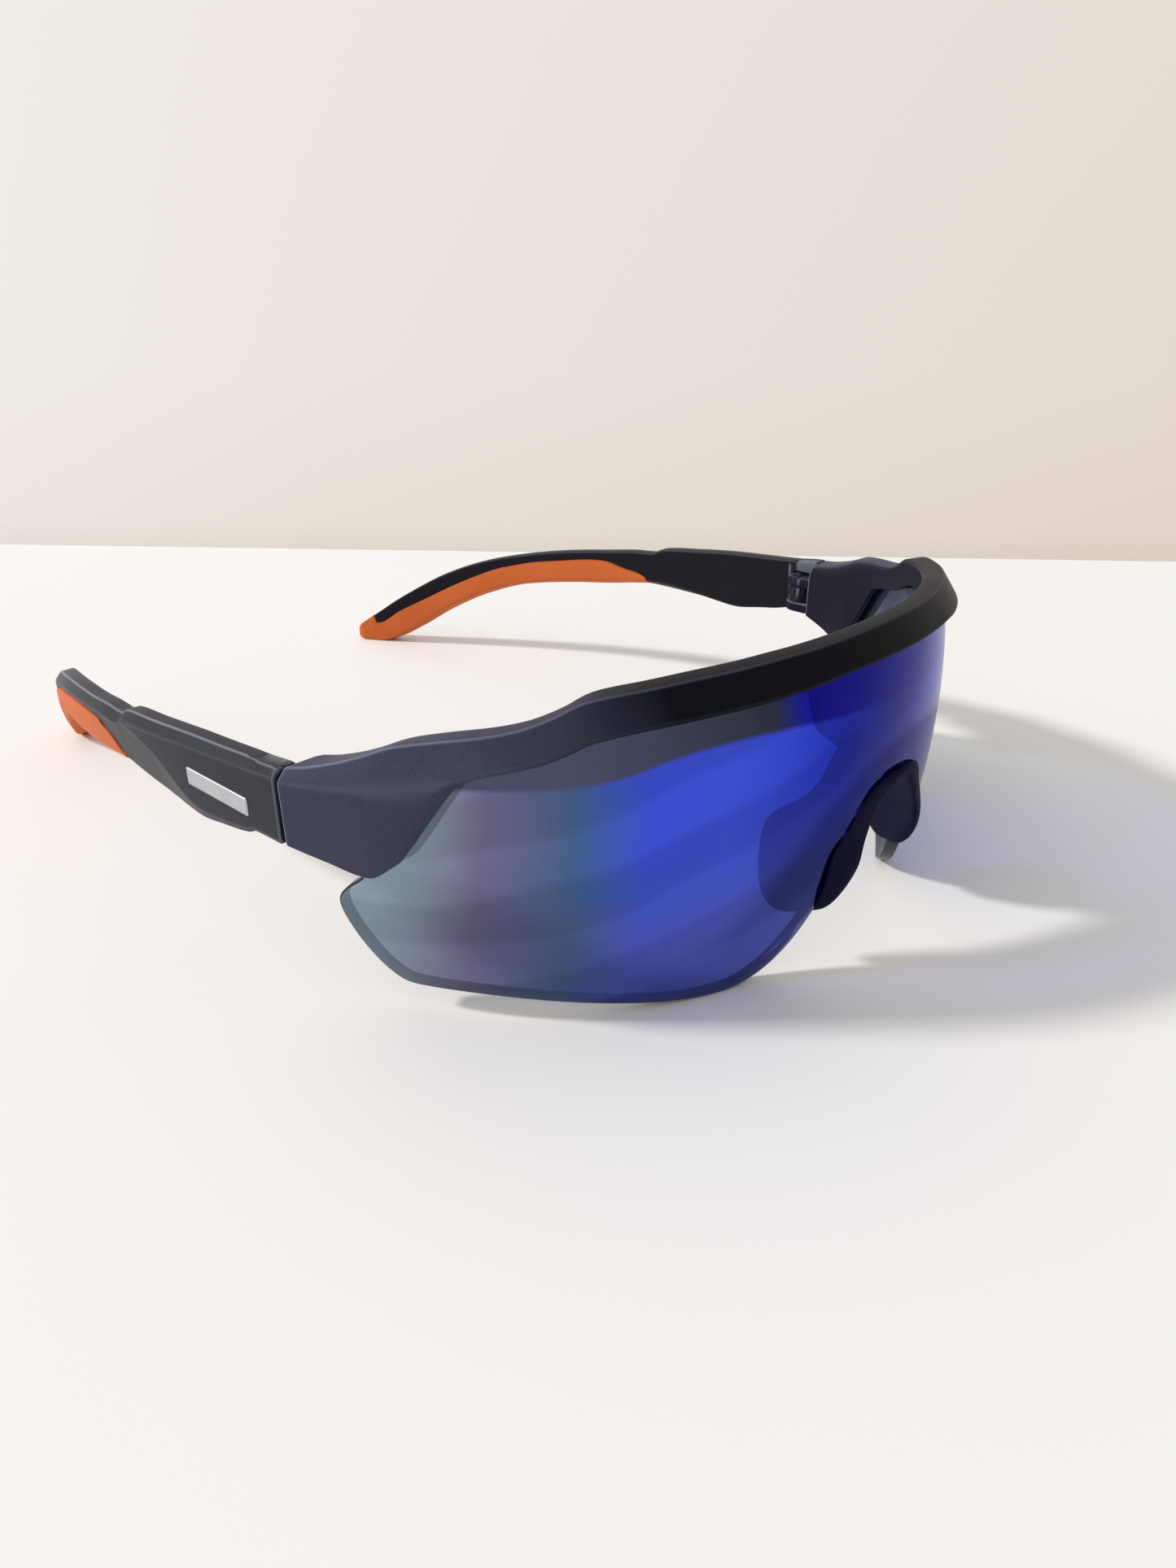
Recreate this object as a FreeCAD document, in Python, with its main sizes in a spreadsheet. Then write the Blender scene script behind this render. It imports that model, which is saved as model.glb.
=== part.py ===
import FreeCAD, Part
import math
import os
import Sketcher

# Wraparound sport sunglasses: a half-rim front that carries one shield lens,
# a soft nose pad on the lens, and two temples on screw hinges.
#
# Millimetres. +Z is up, the face of the glasses looks along -Y and the temples
# run back along +Y. +X is the wearer's left. The glasses stand on the two lower
# lobes of the lens and on the two temple tips, so z = 0 is the table. While the
# pieces are drawn, y = 0 is at the front of the lens; every piece is then placed
# so that the origin is at the middle of the box that holds the open glasses.

Vector = FreeCAD.Vector

SIZES = {
    # overall: half of the greatest width, and the height from the table to the top of the front
    "half_width": 68.3,
    "height": 51.0,
    # front frame: a ring sector about a vertical axis
    "frame_radius_over_width": 3.6,
    "frame_front_y": 0.4,
    "frame_bevel_height": 3.6,
    "frame_bevel": 2.9,
    "frame_back_wall": 1.3,
    # shield lens: a barrel-shaped shell about its own vertical axis
    "lens_inset": 6.0,
    "lens_front_y": 0.3,
    "lens_thickness": 2.0,
    "lens_bulge_radius": 104.6,
    "lens_belt_z": 28.5,
    "lens_clearance": 0.12,
    # temples: strips that run straight back, and then bend inwards on one radius in plan
    "temple_straight": 20.0,
    "temple_bend_radius": 200.0,
    "temple_thickness": 3.8,
    "temple_bevel": 1.3,
    "seam_step": 0.2,
    "seam_gap": 0.3,
    "temple_length": 121.5,
    "grip_stand_out": 0.2,
    "grip_clearance": 0.05,
    # hinges
    "hinge_inset": 5.1,
    "hinge_setback": 3.2,
    "ear_radius": 2.8,
    "ear_root": 3.0,
    "hinge_drop": 1.4,
    "hinge_height": 7.0,
    "ear_thickness": 1.8,
    "hinge_side_clearance": 0.3,
    "hinge_end_clearance": 0.15,
    "barrel_radius": 2.6,
    "screw_radius": 0.9,
    "screw_head_radius": 1.7,
    "screw_head_height": 0.8,
    "screw_slot_width": 0.5,
    "screw_slot_depth": 0.45,
    "screw_running_clearance": 0.05,
    "insert_radius": 1.5,
    "insert_height": 1.4,
    "insert_clearance": 0.03,
    # plain inlay on the outer face of each temple
    "inlay_start": 6.5,
    "inlay_length": 14.0,
    "inlay_drop": 2.1,
    "inlay_height": 2.6,
    "inlay_depth": 0.5,
    "inlay_stand_out": 0.2,
    "inlay_clearance": 0.05,
    # nose pad
    "pad_front_y": -0.8,
    "pad_lip_y": 1.8,
    "pad_rear_y": 12.4,
}

# The outlines below are drawn for these two sizes, and are stretched when the sheet says otherwise.
DRAWN_HALF_WIDTH = 68.3
DRAWN_HEIGHT = 51.0
DRAWN_TEMPLE = 121.5

# Half outlines seen from the front, as (x, z), from the middle outwards.
FRAME_TOP = [(0.0, 51.0), (23.2, 50.2), (35.5, 49.1), (43.6, 47.9), (46.4, 47.2), (48.3, 45.9),
             (50.3, 44.7), (54.1, 43.4), (57.6, 42.5), (60.1, 41.5), (62.6, 39.7), (66.0, 37.6)]
FRAME_LOW = [(0.0, 46.9), (12.9, 46.7), (27.5, 45.6), (39.1, 44.3), (44.0, 43.6), (46.6, 42.7),
             (48.7, 41.4), (50.9, 40.3), (54.4, 39.2), (57.2, 37.7)]
LUG_EDGE = [(57.2, 37.7), (58.7, 35.4), (61.2, 29.4), (63.4, 24.4)]
LUG_FOOT = [(63.4, 24.4), (67.8, 27.0)]
LENS_TOP = [(0.0, 48.3), (23.2, 47.6), (35.5, 46.6), (43.5, 45.5), (46.6, 44.5), (50.4, 42.2),
            (54.4, 40.6), (57.8, 38.6), (62.0, 35.6)]
LENS_FOOT = [(57.0, 4.35), (52.1, 4.0), (46.5, 3.1), (39.7, 1.75), (33.7, 0.62), (28.0, 0.045),
             (23.8, 0.3), (19.8, 2.5), (16.4, 6.5), (13.4, 12.4)]
LENS_NOSE = [(13.4, 12.4), (12.1, 16.2), (11.0, 20.2), (8.9, 23.4), (6.6, 26.4), (3.6, 28.1), (0.0, 28.5)]

# Rear end of the lens seen from the side, as (y, z), from the foot up into the lug.
LENS_SIDE = [(39.0, 3.2), (40.9, 4.7), (42.3, 6.2), (44.3, 9.2), (46.2, 13.2), (47.1, 16.3), (46.9, 17.9),
             (45.4, 19.8), (43.0, 21.9), (41.3, 25.0), (40.8, 30.0), (40.7, 39.0)]

# Nose pad: outer and inner half outlines, as (x, z), in three planes from the front to the back.
PAD_FRONT_OUTER = [(9.8, 15.0), (9.4, 18.0), (8.3, 21.6), (6.5, 25.3), (4.0, 28.4), (0.0, 29.4)]
PAD_FRONT_INNER = [(9.0, 15.4), (8.1, 17.7), (7.2, 21.0), (5.4, 24.4), (3.3, 27.2), (0.0, 28.1)]
PAD_LIP_OUTER = [(15.0, 9.9), (14.4, 14.2), (13.6, 19.2), (11.2, 23.6), (8.0, 28.6), (0.0, 30.9)]
PAD_LIP_INNER = [(11.6, 9.7), (10.4, 13.6), (9.2, 17.8), (7.3, 22.0), (4.4, 25.9), (0.0, 27.4)]
PAD_REAR_OUTER = [(16.9, 9.2), (17.4, 13.8), (16.9, 18.7), (14.2, 24.0), (9.2, 29.8), (0.0, 32.4)]
PAD_REAR_INNER = [(15.2, 9.4), (15.5, 13.6), (14.9, 18.2), (12.2, 23.0), (7.6, 28.0), (0.0, 30.4)]
# Side view, as (y, z): how the rear edge of the pad steps forward over the wings.
PAD_REAR_EDGE = [(8.2, 34.0), (8.3, 30.2), (9.6, 27.4), (11.6, 25.0), (12.6, 21.5)]
PAD_FOOT_EDGE = [(12.6, 14.0), (12.0, 11.4), (10.6, 9.9), (8.4, 9.2)]

# Temple stations: the run back from the seam face, the heights of top and foot, how far the upper
# and the lower bevel reach down and up the outer face, how far the lower bevel leans in, and how far
# the underside rises to the inner face.
TEMPLE_STATIONS = [
    (0.0, 37.3, 27.0, 1.1, 0.5, 0.2, 0.0),
    (5.6, 36.8, 26.8, 1.2, 0.5, 0.2, 0.0),
    (7.2, 36.7, 26.1, 1.2, 0.6, 0.2, 0.0),
    (13.5, 36.2, 24.7, 1.3, 1.0, 0.4, 0.1),
    (20.5, 35.7, 23.5, 1.4, 2.1, 0.8, 0.3),
    (31.5, 34.5, 23.8, 1.5, 6.5, 1.3, 1.1),
    (39.8, 33.4, 24.1, 1.6, 7.4, 1.3, 1.4),
    (42.8, 32.2, 24.2, 1.4, 6.4, 1.3, 1.2),
    (48.0, 31.8, 23.6, 1.4, 6.3, 1.3, 1.2),
    (54.5, 30.9, 22.5, 1.4, 5.4, 1.2, 1.4),
    (66.5, 29.2, 20.9, 1.4, 4.4, 1.1, 1.3),
    (78.5, 26.8, 18.8, 1.4, 3.4, 1.0, 0.9),
    (88.5, 24.0, 15.2, 1.4, 2.8, 1.0, 0.8),
    (98.0, 19.9, 10.1, 1.4, 2.6, 1.0, 0.7),
    (106.5, 14.7, 4.2, 1.4, 2.6, 1.0, 0.5),
    (112.0, 10.8, 0.9, 1.4, 2.2, 1.0, 0.2),
    (114.5, 8.8, -0.15, 1.3, 1.8, 0.9, 0.0),
    (118.8, 5.4, -0.15, 1.1, 1.2, 0.7, 0.0),
    (120.7, 3.8, 0.4, 0.7, 0.7, 0.6, 0.1),
    (121.5, 2.7, 1.0, 0.4, 0.4, 0.4, 0.0),
]
# Where the grip meets the temple, as (run, z): a curve along the side, and then a straight line up to the
# last point, so that the tip is all grip.
GRIP_SEAM = [(43.0, 22.0), (44.6, 25.0), (46.6, 27.4), (49.8, 28.6), (54.5, 28.7), (59.0, 28.3), (66.5, 27.1),
             (74.4, 25.5), (79.2, 24.1), (84.3, 22.4), (89.5, 20.2), (96.3, 16.7), (103.1, 12.6), (109.9, 8.4),
             (115.7, 4.6), (117.3, 10.0)]

FRAME_BLANK_FOOT = 21.0
HOLLOW_ROWS = [53.0, 46.5, 40.0, 33.0, 26.0, 18.5]
SHELL_OVERRUN = 3.0   # how far the lens's shell goes on above and below before its outline is cut
LENS_UNDER_LUG = 6.0  # how far the lens's top edge goes on down behind the lug
CUT_MARGIN = 20.0     # how far the outer side of a cut stays off the piece
REACH = 130.0         # half length of a cut that goes right through
FRAME_SWEEP = 160.0   # degrees of the ring sectors, before their ends are trimmed


class Size:
    """A number together with the sheet formula that gives it."""

    def __init__(self, value, formula):
        self.value = float(value)
        self.formula = formula

    def _join(self, other, sign, value):
        text = other.formula if isinstance(other, Size) else f"{other:.6f}"
        return Size(value, f"({self.formula} {sign} {text})")

    def __add__(self, other):
        return self._join(other, "+", self.value + number(other))

    def __sub__(self, other):
        return self._join(other, "-", self.value - number(other))

    def __mul__(self, other):
        return self._join(other, "*", self.value * number(other))

    def __truediv__(self, other):
        return self._join(other, "/", self.value / number(other))

    def __neg__(self):
        return self * -1.0


def number(value):
    """The plain number of a Size or of a number."""
    return value.value if isinstance(value, Size) else float(value)


def root_of_squares(leg, long_side):
    """The third side of a right triangle, as a Size."""
    value = math.sqrt(long_side.value ** 2 - number(leg) ** 2)
    formula = f"sqrt({long_side.formula} ^ 2 - {leg.formula} ^ 2)"
    return Size(value, formula)


def add_worked_out(size):
    """Add the places that follow from the sizes in the sheet."""
    size["frame_radius"] = size["half_width"] + size["frame_radius_over_width"]
    size["frame_axis_y"] = size["frame_front_y"] + size["frame_radius"]
    size["lens_radius"] = size["frame_radius"] - size["lens_inset"]
    size["lens_axis_y"] = size["lens_front_y"] + size["lens_radius"]
    # the temples go on from where the ring has almost the full width
    seam_x = size["half_width"] - size["seam_step"]
    size["seam_y"] = size["frame_axis_y"] - root_of_squares(seam_x, size["frame_radius"])
    size["temple_front_y"] = size["seam_y"] + size["seam_gap"]
    # the hinges sit a little below the middle of the temples' front ends
    size["hinge_x"] = size["half_width"] - size["hinge_inset"]
    size["hinge_y"] = size["seam_y"] + size["hinge_setback"]
    temple_top, temple_foot = TEMPLE_STATIONS[0][1:3]
    middle_z = size["height"] * ((temple_top + temple_foot) / 2.0 / DRAWN_HEIGHT)
    hinge_z = middle_z - size["hinge_drop"]
    size["ear_low_z"] = hinge_z - size["hinge_height"] / 2.0
    size["ear_high_z"] = hinge_z + size["hinge_height"] / 2.0
    size["insert_foot_z"] = size["ear_low_z"] + size["ear_thickness"] - size["insert_height"]
    size["inlay_low_z"] = middle_z - size["inlay_drop"] - size["inlay_height"] / 2.0
    return size


def make_sheet(doc):
    """Write every driving size in the sheet and return them by name."""
    sheet = doc.addObject("Spreadsheet::Sheet", "dims")
    for row, (name, value) in enumerate(SIZES.items(), start=1):
        sheet.set(f"A{row}", name)
        sheet.set(f"B{row}", str(value))
        sheet.setAlias(f"B{row}", name)
    doc.recompute()
    return add_worked_out({name: Size(value, f"dims.{name}") for name, value in SIZES.items()})


def across(size):
    """How much the drawn widths and depths are stretched."""
    return size["half_width"].value / DRAWN_HALF_WIDTH


def upward(size):
    """How much the drawn heights are stretched."""
    return size["height"].value / DRAWN_HEIGHT


def stretch(size, points):
    return [(x * across(size), z * upward(size)) for x, z in points]


def new_body(doc, name):
    body = doc.addObject("PartDesign::Body", name)
    body.Label = name
    return body


def new_sketch(body, name, role, offset=None):
    """A sketch on one of the body's own origin planes, lifted along the plane's normal."""
    sketch = body.newObject("Sketcher::SketchObject", name)
    plane = next(item for item in body.Origin.OriginFeatures if item.Role == role)
    sketch.AttachmentSupport = [(plane, "")]
    sketch.MapMode = "FlatFace"
    if offset is not None:
        sketch.setExpression("AttachmentOffset.Base.z", offset.formula)
    return sketch


def edge_through(points):
    """Two points give a line, three a circular arc, more a smooth curve."""
    places = [Vector(number(x), number(y), 0) for x, y in points]
    if len(places) == 2:
        return Part.LineSegment(*places)
    if len(places) == 3:
        return Part.Arc(*places)
    curve = Part.BSplineCurve()
    curve.interpolate(places)
    return curve


def end_numbers(points):
    """Which numbered end a piece starts and stops at. An arc is kept counter-clockwise."""
    (ax, ay), (bx, by), (cx, cy) = [(number(x), number(y)) for x, y in (points[0], points[1], points[-1])]
    clockwise = (bx - ax) * (cy - by) - (by - ay) * (cx - bx) < 0
    return (2, 1) if len(points) == 3 and clockwise else (1, 2)


def hold(sketch, geometry, end, axis, value):
    """Tie one coordinate of a piece's end to the sheet."""
    index = sketch.addConstraint(Sketcher.Constraint(f"Distance{axis}", -1, 1, geometry, end, value.value))
    sketch.setExpression(f"Constraints[{index}]", value.formula)


def draw(sketch, *loops):
    """Draw closed loops. A loop is a list of pieces, and a piece is a list of points."""
    for pieces in loops:
        first = sketch.GeometryCount
        for points in pieces:
            sketch.addGeometry(edge_through(points), False)
        ends = [end_numbers(points) for points in pieces]
        joints = []
        for place, (start, stop) in enumerate(ends):
            following = (place + 1) % len(pieces)
            joints.append(Sketcher.Constraint("Coincident", first + place, stop,
                                              first + following, ends[following][0]))
        sketch.addConstraint(joints)
        for place, points in enumerate(pieces):
            for axis, value in zip("XY", points[0]):
                if isinstance(value, Size):
                    hold(sketch, first + place, ends[place][0], axis, value)


def polygon(points):
    """The pieces of a closed chain of straight lines."""
    return [[points[place], points[(place + 1) % len(points)]] for place in range(len(points))]


def circle(sketch, x, y, radius):
    """A circle whose centre and radius come from the sheet."""
    centre = Vector(number(x), number(y), 0)
    index = sketch.addGeometry(Part.Circle(centre, Vector(0, 0, 1), radius.value), False)
    limit = sketch.addConstraint(Sketcher.Constraint("Radius", index, radius.value))
    sketch.setExpression(f"Constraints[{limit}]", radius.formula)
    hold(sketch, index, 3, "X", x)
    hold(sketch, index, 3, "Y", y)


def pad(body, sketch, length, both_ways=False):
    feature = body.newObject("PartDesign::Pad", sketch.Name + "_pad")
    feature.Profile = sketch
    feature.Midplane = both_ways
    feature.setExpression("Length", length.formula)
    return feature


def cut(body, sketch, length, both_ways=False):
    """A pocket. One way, it cuts along the sketch's normal."""
    feature = body.newObject("PartDesign::Pocket", sketch.Name + "_cut")
    feature.Profile = sketch
    feature.Midplane = both_ways
    feature.Reversed = not both_ways
    feature.setExpression("Length", length.formula)
    return feature


def keep_inside(body, name, role, outline):
    """Cut away all that lies outside an outline."""
    sketch = new_sketch(body, name, role)
    far = 2.5 * REACH
    draw(sketch, polygon([(-far, -far), (far, -far), (far, far), (-far, far)]), outline)
    return cut(body, sketch, Size(2 * REACH, f"{2 * REACH}"), both_ways=True)


# Shield lens and the room that it takes in its neighbours


def shell_profile(size, grow):
    """Side section of a barrel shell: the lens, or the lens grown by a clearance all round."""
    belt = size["lens_belt_z"].value
    low, high = -SHELL_OVERRUN, size["height"].value + SHELL_OVERRUN
    rows = [high, (high + belt) / 2.0, belt, (low + belt) / 2.0, low]
    outer = [(barrel_y(size, z, -grow), z) for z in rows]
    inner = [(barrel_y(size, z, size["lens_thickness"].value + grow), z) for z in reversed(rows)]
    return [outer, [outer[-1], inner[0]], inner, [inner[-1], outer[0]]]


def barrel_y(size, z, inset):
    """y of the lens's middle section at height z, inset from its outer face."""
    centre_y = size["lens_front_y"].value + size["lens_bulge_radius"].value
    radius = size["lens_bulge_radius"].value - inset
    return centre_y - math.sqrt(radius ** 2 - (z - size["lens_belt_z"].value) ** 2)


def add_axis(sketch, axis_y):
    """A construction line that the section turns about."""
    line = Part.LineSegment(Vector(axis_y.value, 0, 0), Vector(axis_y.value, 10, 0))
    index = sketch.addGeometry(line, True)
    sketch.addConstraint(Sketcher.Constraint("Vertical", index))
    hold(sketch, index, 1, "X", axis_y)
    return index


def turn_about(body, sketch, kind, line, angle):
    feature = body.newObject(f"PartDesign::{kind}", sketch.Name + "_turn")
    feature.Profile = sketch
    feature.ReferenceAxis = (sketch, [f"Axis{line}"])
    feature.Midplane = True
    feature.Angle = angle
    return feature


def grown(points, grow_x, grow_z):
    return [(x + grow_x, z + grow_z) for x, z in points]


def mirrored_loop(pieces):
    """A half loop that starts and ends on the middle line, closed by its own mirror image."""
    return pieces + [[(-x, z) for x, z in reversed(piece)] for piece in reversed(pieces)]


def lens_outline(size, grow):
    """The lens seen from the front; grow moves its top up, its foot down and its nose edge in."""
    top = grown(stretch(size, LENS_TOP), 0, grow)
    foot = grown(stretch(size, LENS_FOOT), 0, -grow)
    nose = grown(stretch(size, LENS_NOSE), -grow, -grow)
    nose[0] = foot[-1]
    nose[-1] = (0.0, nose[-1][1])
    far = REACH
    high, low = (far, top[-1][1] - LENS_UNDER_LUG), (far, foot[0][1])
    return mirrored_loop([top, [top[-1], high], [high, low], [low, foot[0]], foot, nose])


def make_lens(doc, size, name, grow):
    body = new_body(doc, name)
    sketch = new_sketch(body, name + "_section", "YZ_Plane")
    draw(sketch, shell_profile(size, grow))
    line = add_axis(sketch, size["lens_axis_y"])
    turn_about(body, sketch, "Revolution", sketch_axis_number(sketch, line), FRAME_SWEEP)
    keep_inside(body, name + "_outline", "XZ_Plane", lens_outline(size, grow))
    ends = new_sketch(body, name + "_ends", "YZ_Plane")
    curve = grown(stretch(size, LENS_SIDE), grow, 0)
    first, last = curve[0], curve[-1]
    foot, top, far = -CUT_MARGIN, last[1] + CUT_MARGIN, 2.0 * REACH
    draw(ends, [[(first[0], foot), first], curve, [last, (last[0], top)], [(last[0], top), (far, top)],
                [(far, top), (far, foot)], [(far, foot), (first[0], foot)]])
    cut(body, ends, Size(2 * REACH, f"{2 * REACH}"), both_ways=True)
    return body


def sketch_axis_number(sketch, line):
    """Construction lines are numbered on their own, from nought."""
    return sum(1 for index in range(line) if sketch.getConstruction(index))


# Front frame


def frame_outline(size):
    top, low = stretch(size, FRAME_TOP), stretch(size, FRAME_LOW)
    lug, foot = stretch(size, LUG_EDGE), stretch(size, LUG_FOOT)
    high_end, low_end = (REACH, top[-1][1]), (REACH, foot[-1][1])
    half = [top, [top[-1], high_end], [high_end, low_end], [low_end, foot[-1]],
            list(reversed(foot)), list(reversed(lug)), list(reversed(low))]
    return mirrored_loop(half)


def ear_profile(size, side, grow):
    """Plan of a hinge ear: a round end on a straight root that reaches into the lug."""
    x, y = size["hinge_x"], size["hinge_y"]
    radius = size["ear_radius"] + grow
    root_y = size["seam_y"] - size["ear_root"]
    inner, outer = x - radius, x + radius
    tip = (x * side, y + radius)
    a, b = (inner * side, y), (outer * side, y)
    return [[(inner * side, root_y), a], [a, tip, b], [b, (outer * side, root_y)],
            [(outer * side, root_y), (inner * side, root_y)]]


def make_frame_blank(doc, size):
    body = new_body(doc, "front_frame_blank")
    section = new_sketch(body, "frame_section", "YZ_Plane")
    front, inner = size["frame_front_y"], size["seam_y"]
    top = size["height"]
    belly, foot = top - size["frame_bevel_height"], top * (FRAME_BLANK_FOOT / DRAWN_HEIGHT)
    draw(section, polygon([(inner, foot), (front, foot), (front, belly),
                           (front + size["frame_bevel"], top), (inner, top)]))
    line = add_axis(section, size["frame_axis_y"])
    turn_about(body, section, "Revolution", sketch_axis_number(section, line), FRAME_SWEEP)

    hollow = new_sketch(body, "frame_hollow", "YZ_Plane")
    inset = (size["lens_thickness"] + size["lens_clearance"] + size["frame_back_wall"]).value
    rows = [z * upward(size) for z in HOLLOW_ROWS]
    wall = [(barrel_y(size, z, inset), z) for z in rows]
    far = size["lens_axis_y"].value
    draw(hollow, [[(far, rows[0]), wall[0]], wall, [wall[-1], (far, rows[-1])],
                  [(far, rows[-1]), (far, rows[0])]])
    line = add_axis(hollow, size["lens_axis_y"])
    turn_about(body, hollow, "Groove", sketch_axis_number(hollow, line), 360.0)

    keep_inside(body, "frame_outline", "XZ_Plane", frame_outline(size))
    trim = new_sketch(body, "frame_rear_trim", "XY_Plane")
    far = Size(REACH, f"{REACH}")
    draw(trim, polygon([(-far, size["seam_y"]), (far, size["seam_y"]), (far, far * 2.0), (-far, far * 2.0)]))
    cut(body, trim, far * 2.0, both_ways=True)

    x, y = size["hinge_x"], size["hinge_y"]
    ear_bottoms = {"low": size["ear_low_z"], "high": size["ear_high_z"] - size["ear_thickness"]}
    for side, word in ((1.0, "left"), (-1.0, "right")):
        for level, bottom in ear_bottoms.items():
            sketch = new_sketch(body, f"ear_{level}_{word}", "XY_Plane", bottom)
            draw(sketch, ear_profile(size, side, 0.0))
            pad(body, sketch, size["ear_thickness"])
        under = size["ear_high_z"] - size["ear_thickness"] * 1.5
        hole = new_sketch(body, f"screw_hole_{word}", "XY_Plane", under)
        circle(hole, x * side, y, size["screw_radius"] + size["screw_running_clearance"])
        cut(body, hole, size["ear_thickness"] * 2.0)
        head = size["ear_high_z"] - size["screw_head_height"]
        seat = new_sketch(body, f"screw_head_seat_{word}", "XY_Plane", head)
        circle(seat, x * side, y, size["screw_head_radius"] + size["screw_running_clearance"])
        cut(body, seat, size["ear_thickness"])
        well = new_sketch(body, f"insert_well_{word}", "XY_Plane", size["insert_foot_z"])
        circle(well, x * side, y, size["insert_radius"] + size["insert_clearance"])
        cut(body, well, size["ear_thickness"])
    return body


def less_lens(doc, name, base, seat, label):
    """Cut the lens's room out of a piece that grips the lens."""
    piece = doc.addObject("Part::Cut", name)
    piece.Base = base
    piece.Tool = seat
    piece.Label = label
    return piece


# Nose pad


def make_pad_blank(doc, size):
    """A saddle of rubber: an arch that spreads into two wings towards the back."""
    body = new_body(doc, "nose_pad_blank")
    planes = [("front", size["pad_front_y"], PAD_FRONT_OUTER, PAD_FRONT_INNER),
              ("lip", size["pad_lip_y"], PAD_LIP_OUTER, PAD_LIP_INNER),
              ("rear", size["pad_rear_y"], PAD_REAR_OUTER, PAD_REAR_INNER)]
    sections = []
    for word, place, outer, inner in planes:
        sketch = new_sketch(body, f"pad_{word}", "XZ_Plane", -place)
        outer, inner = stretch(size, outer), stretch(size, inner)
        over = [(-x, z) for x, z in outer] + list(reversed(outer[:-1]))
        under = inner + [(-x, z) for x, z in reversed(inner[:-1])]
        draw(sketch, polygon(over + under))
        sections.append(sketch)
    loft = body.newObject("PartDesign::AdditiveLoft", "pad_saddle")
    loft.Profile = sections[0]
    loft.Sections = sections[1:]
    loft.Ruled = True

    far = size["pad_rear_y"].value + CUT_MARGIN
    for word, points in (("rear", PAD_REAR_EDGE), ("foot", PAD_FOOT_EDGE)):
        curve = [(y, z * upward(size)) for y, z in points]
        first, last = curve[0], curve[-1]
        corners = [last, (far, last[1]), (far, first[1]), first]
        if word == "foot":
            corners = [last, (last[0], 0.0), (far, 0.0), (far, first[1]), first]
        edge = new_sketch(body, f"pad_{word}_edge", "YZ_Plane")
        draw(edge, [curve] + [[corners[k], corners[k + 1]] for k in range(len(corners) - 1)])
        cut(body, edge, Size(2 * REACH, f"{2 * REACH}"), both_ways=True)
    return body


# Temples


def bend_x(size, y, inset):
    """x of a temple face at y: inset is how far the face lies inside the outer face."""
    radius = size["temple_bend_radius"] - inset
    past = y - size["temple_front_y"] - size["temple_straight"]
    leg = Size(max(past.value, 0.0), f"max({past.formula}; 0)")
    centre = size["half_width"] - size["temple_bend_radius"]
    return centre + root_of_squares(leg, radius)


def strip(size, first_y, last_y, outer_inset, inner_inset):
    """Plan of a straight bar that lies along the temple between two faces."""
    outer = [(bend_x(size, y, outer_inset), y) for y in (first_y, last_y)]
    inner = [(bend_x(size, y, inner_inset), y) for y in (last_y, first_y)]
    return polygon(outer + inner)


def at_run(size, run):
    """y of a place on the temple, from its run back from the seam face at the drawn length."""
    return size["temple_front_y"] + size["temple_length"] * (run / DRAWN_TEMPLE)


def station_outline(size, station, proud):
    """Section of a temple across its length: six corners, with a bevel above and one below."""
    run, top, foot, upper, lower, lean, rise = station
    y = at_run(size, run)
    outer = bend_x(size, y, Size(-proud, f"{-proud}")).value
    inner = bend_x(size, y, size["temple_thickness"] + proud).value
    high, low = top * upward(size), foot * upward(size)
    crease = outer - size["temple_bevel"].value
    return [(inner, high), (crease, high), (outer, high - upper), (outer, low + lower), (outer - lean, low),
            (inner, low + rise)]


def temple_loft(body, size, proud):
    """The whole temple bar, ruled from station to station."""
    sections = []
    for place, station in enumerate(TEMPLE_STATIONS):
        sketch = new_sketch(body, f"{body.Name}_station_{place}", "XZ_Plane", -at_run(size, station[0]))
        draw(sketch, polygon(station_outline(size, station, proud)))
        sections.append(sketch)
    loft = body.newObject("PartDesign::AdditiveLoft", body.Name + "_bar")
    loft.Profile = sections[0]
    loft.Sections = sections[1:]
    loft.Ruled = True
    return loft


def set_aside(points, gap):
    """The same chain of points, moved by gap to the right of the way it runs."""
    moved = []
    for place, (y, z) in enumerate(points):
        before, after = points[max(place - 1, 0)], points[min(place + 1, len(points) - 1)]
        run, rise = after[0] - before[0], after[1] - before[1]
        length = math.hypot(run, rise)
        moved.append((y + gap * rise / length, z - gap * run / length))
    return moved


def split_at_seam(body, size, keep_below, gap):
    """Cut away one side of the seam between the temple and its grip."""
    sketch = new_sketch(body, body.Name + "_seam", "YZ_Plane")
    curve = set_aside([(at_run(size, run).value, z * upward(size)) for run, z in GRIP_SEAM], gap)
    first, last = curve[0], curve[-1]
    far = last[0] + CUT_MARGIN
    if keep_below:
        level = size["height"].value + CUT_MARGIN
        corners = [last, (far, last[1]), (far, level), (0.0, level), (0.0, first[1]), first]
    else:
        corners = [last, (far, last[1]), (far, -CUT_MARGIN), (first[0], -CUT_MARGIN), first]
    straight = [curve[-2]] + corners
    draw(sketch, [curve[:-1]] + [[straight[k], straight[k + 1]] for k in range(len(straight) - 1)])
    return cut(body, sketch, Size(2 * REACH, f"{2 * REACH}"), both_ways=True)


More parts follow.
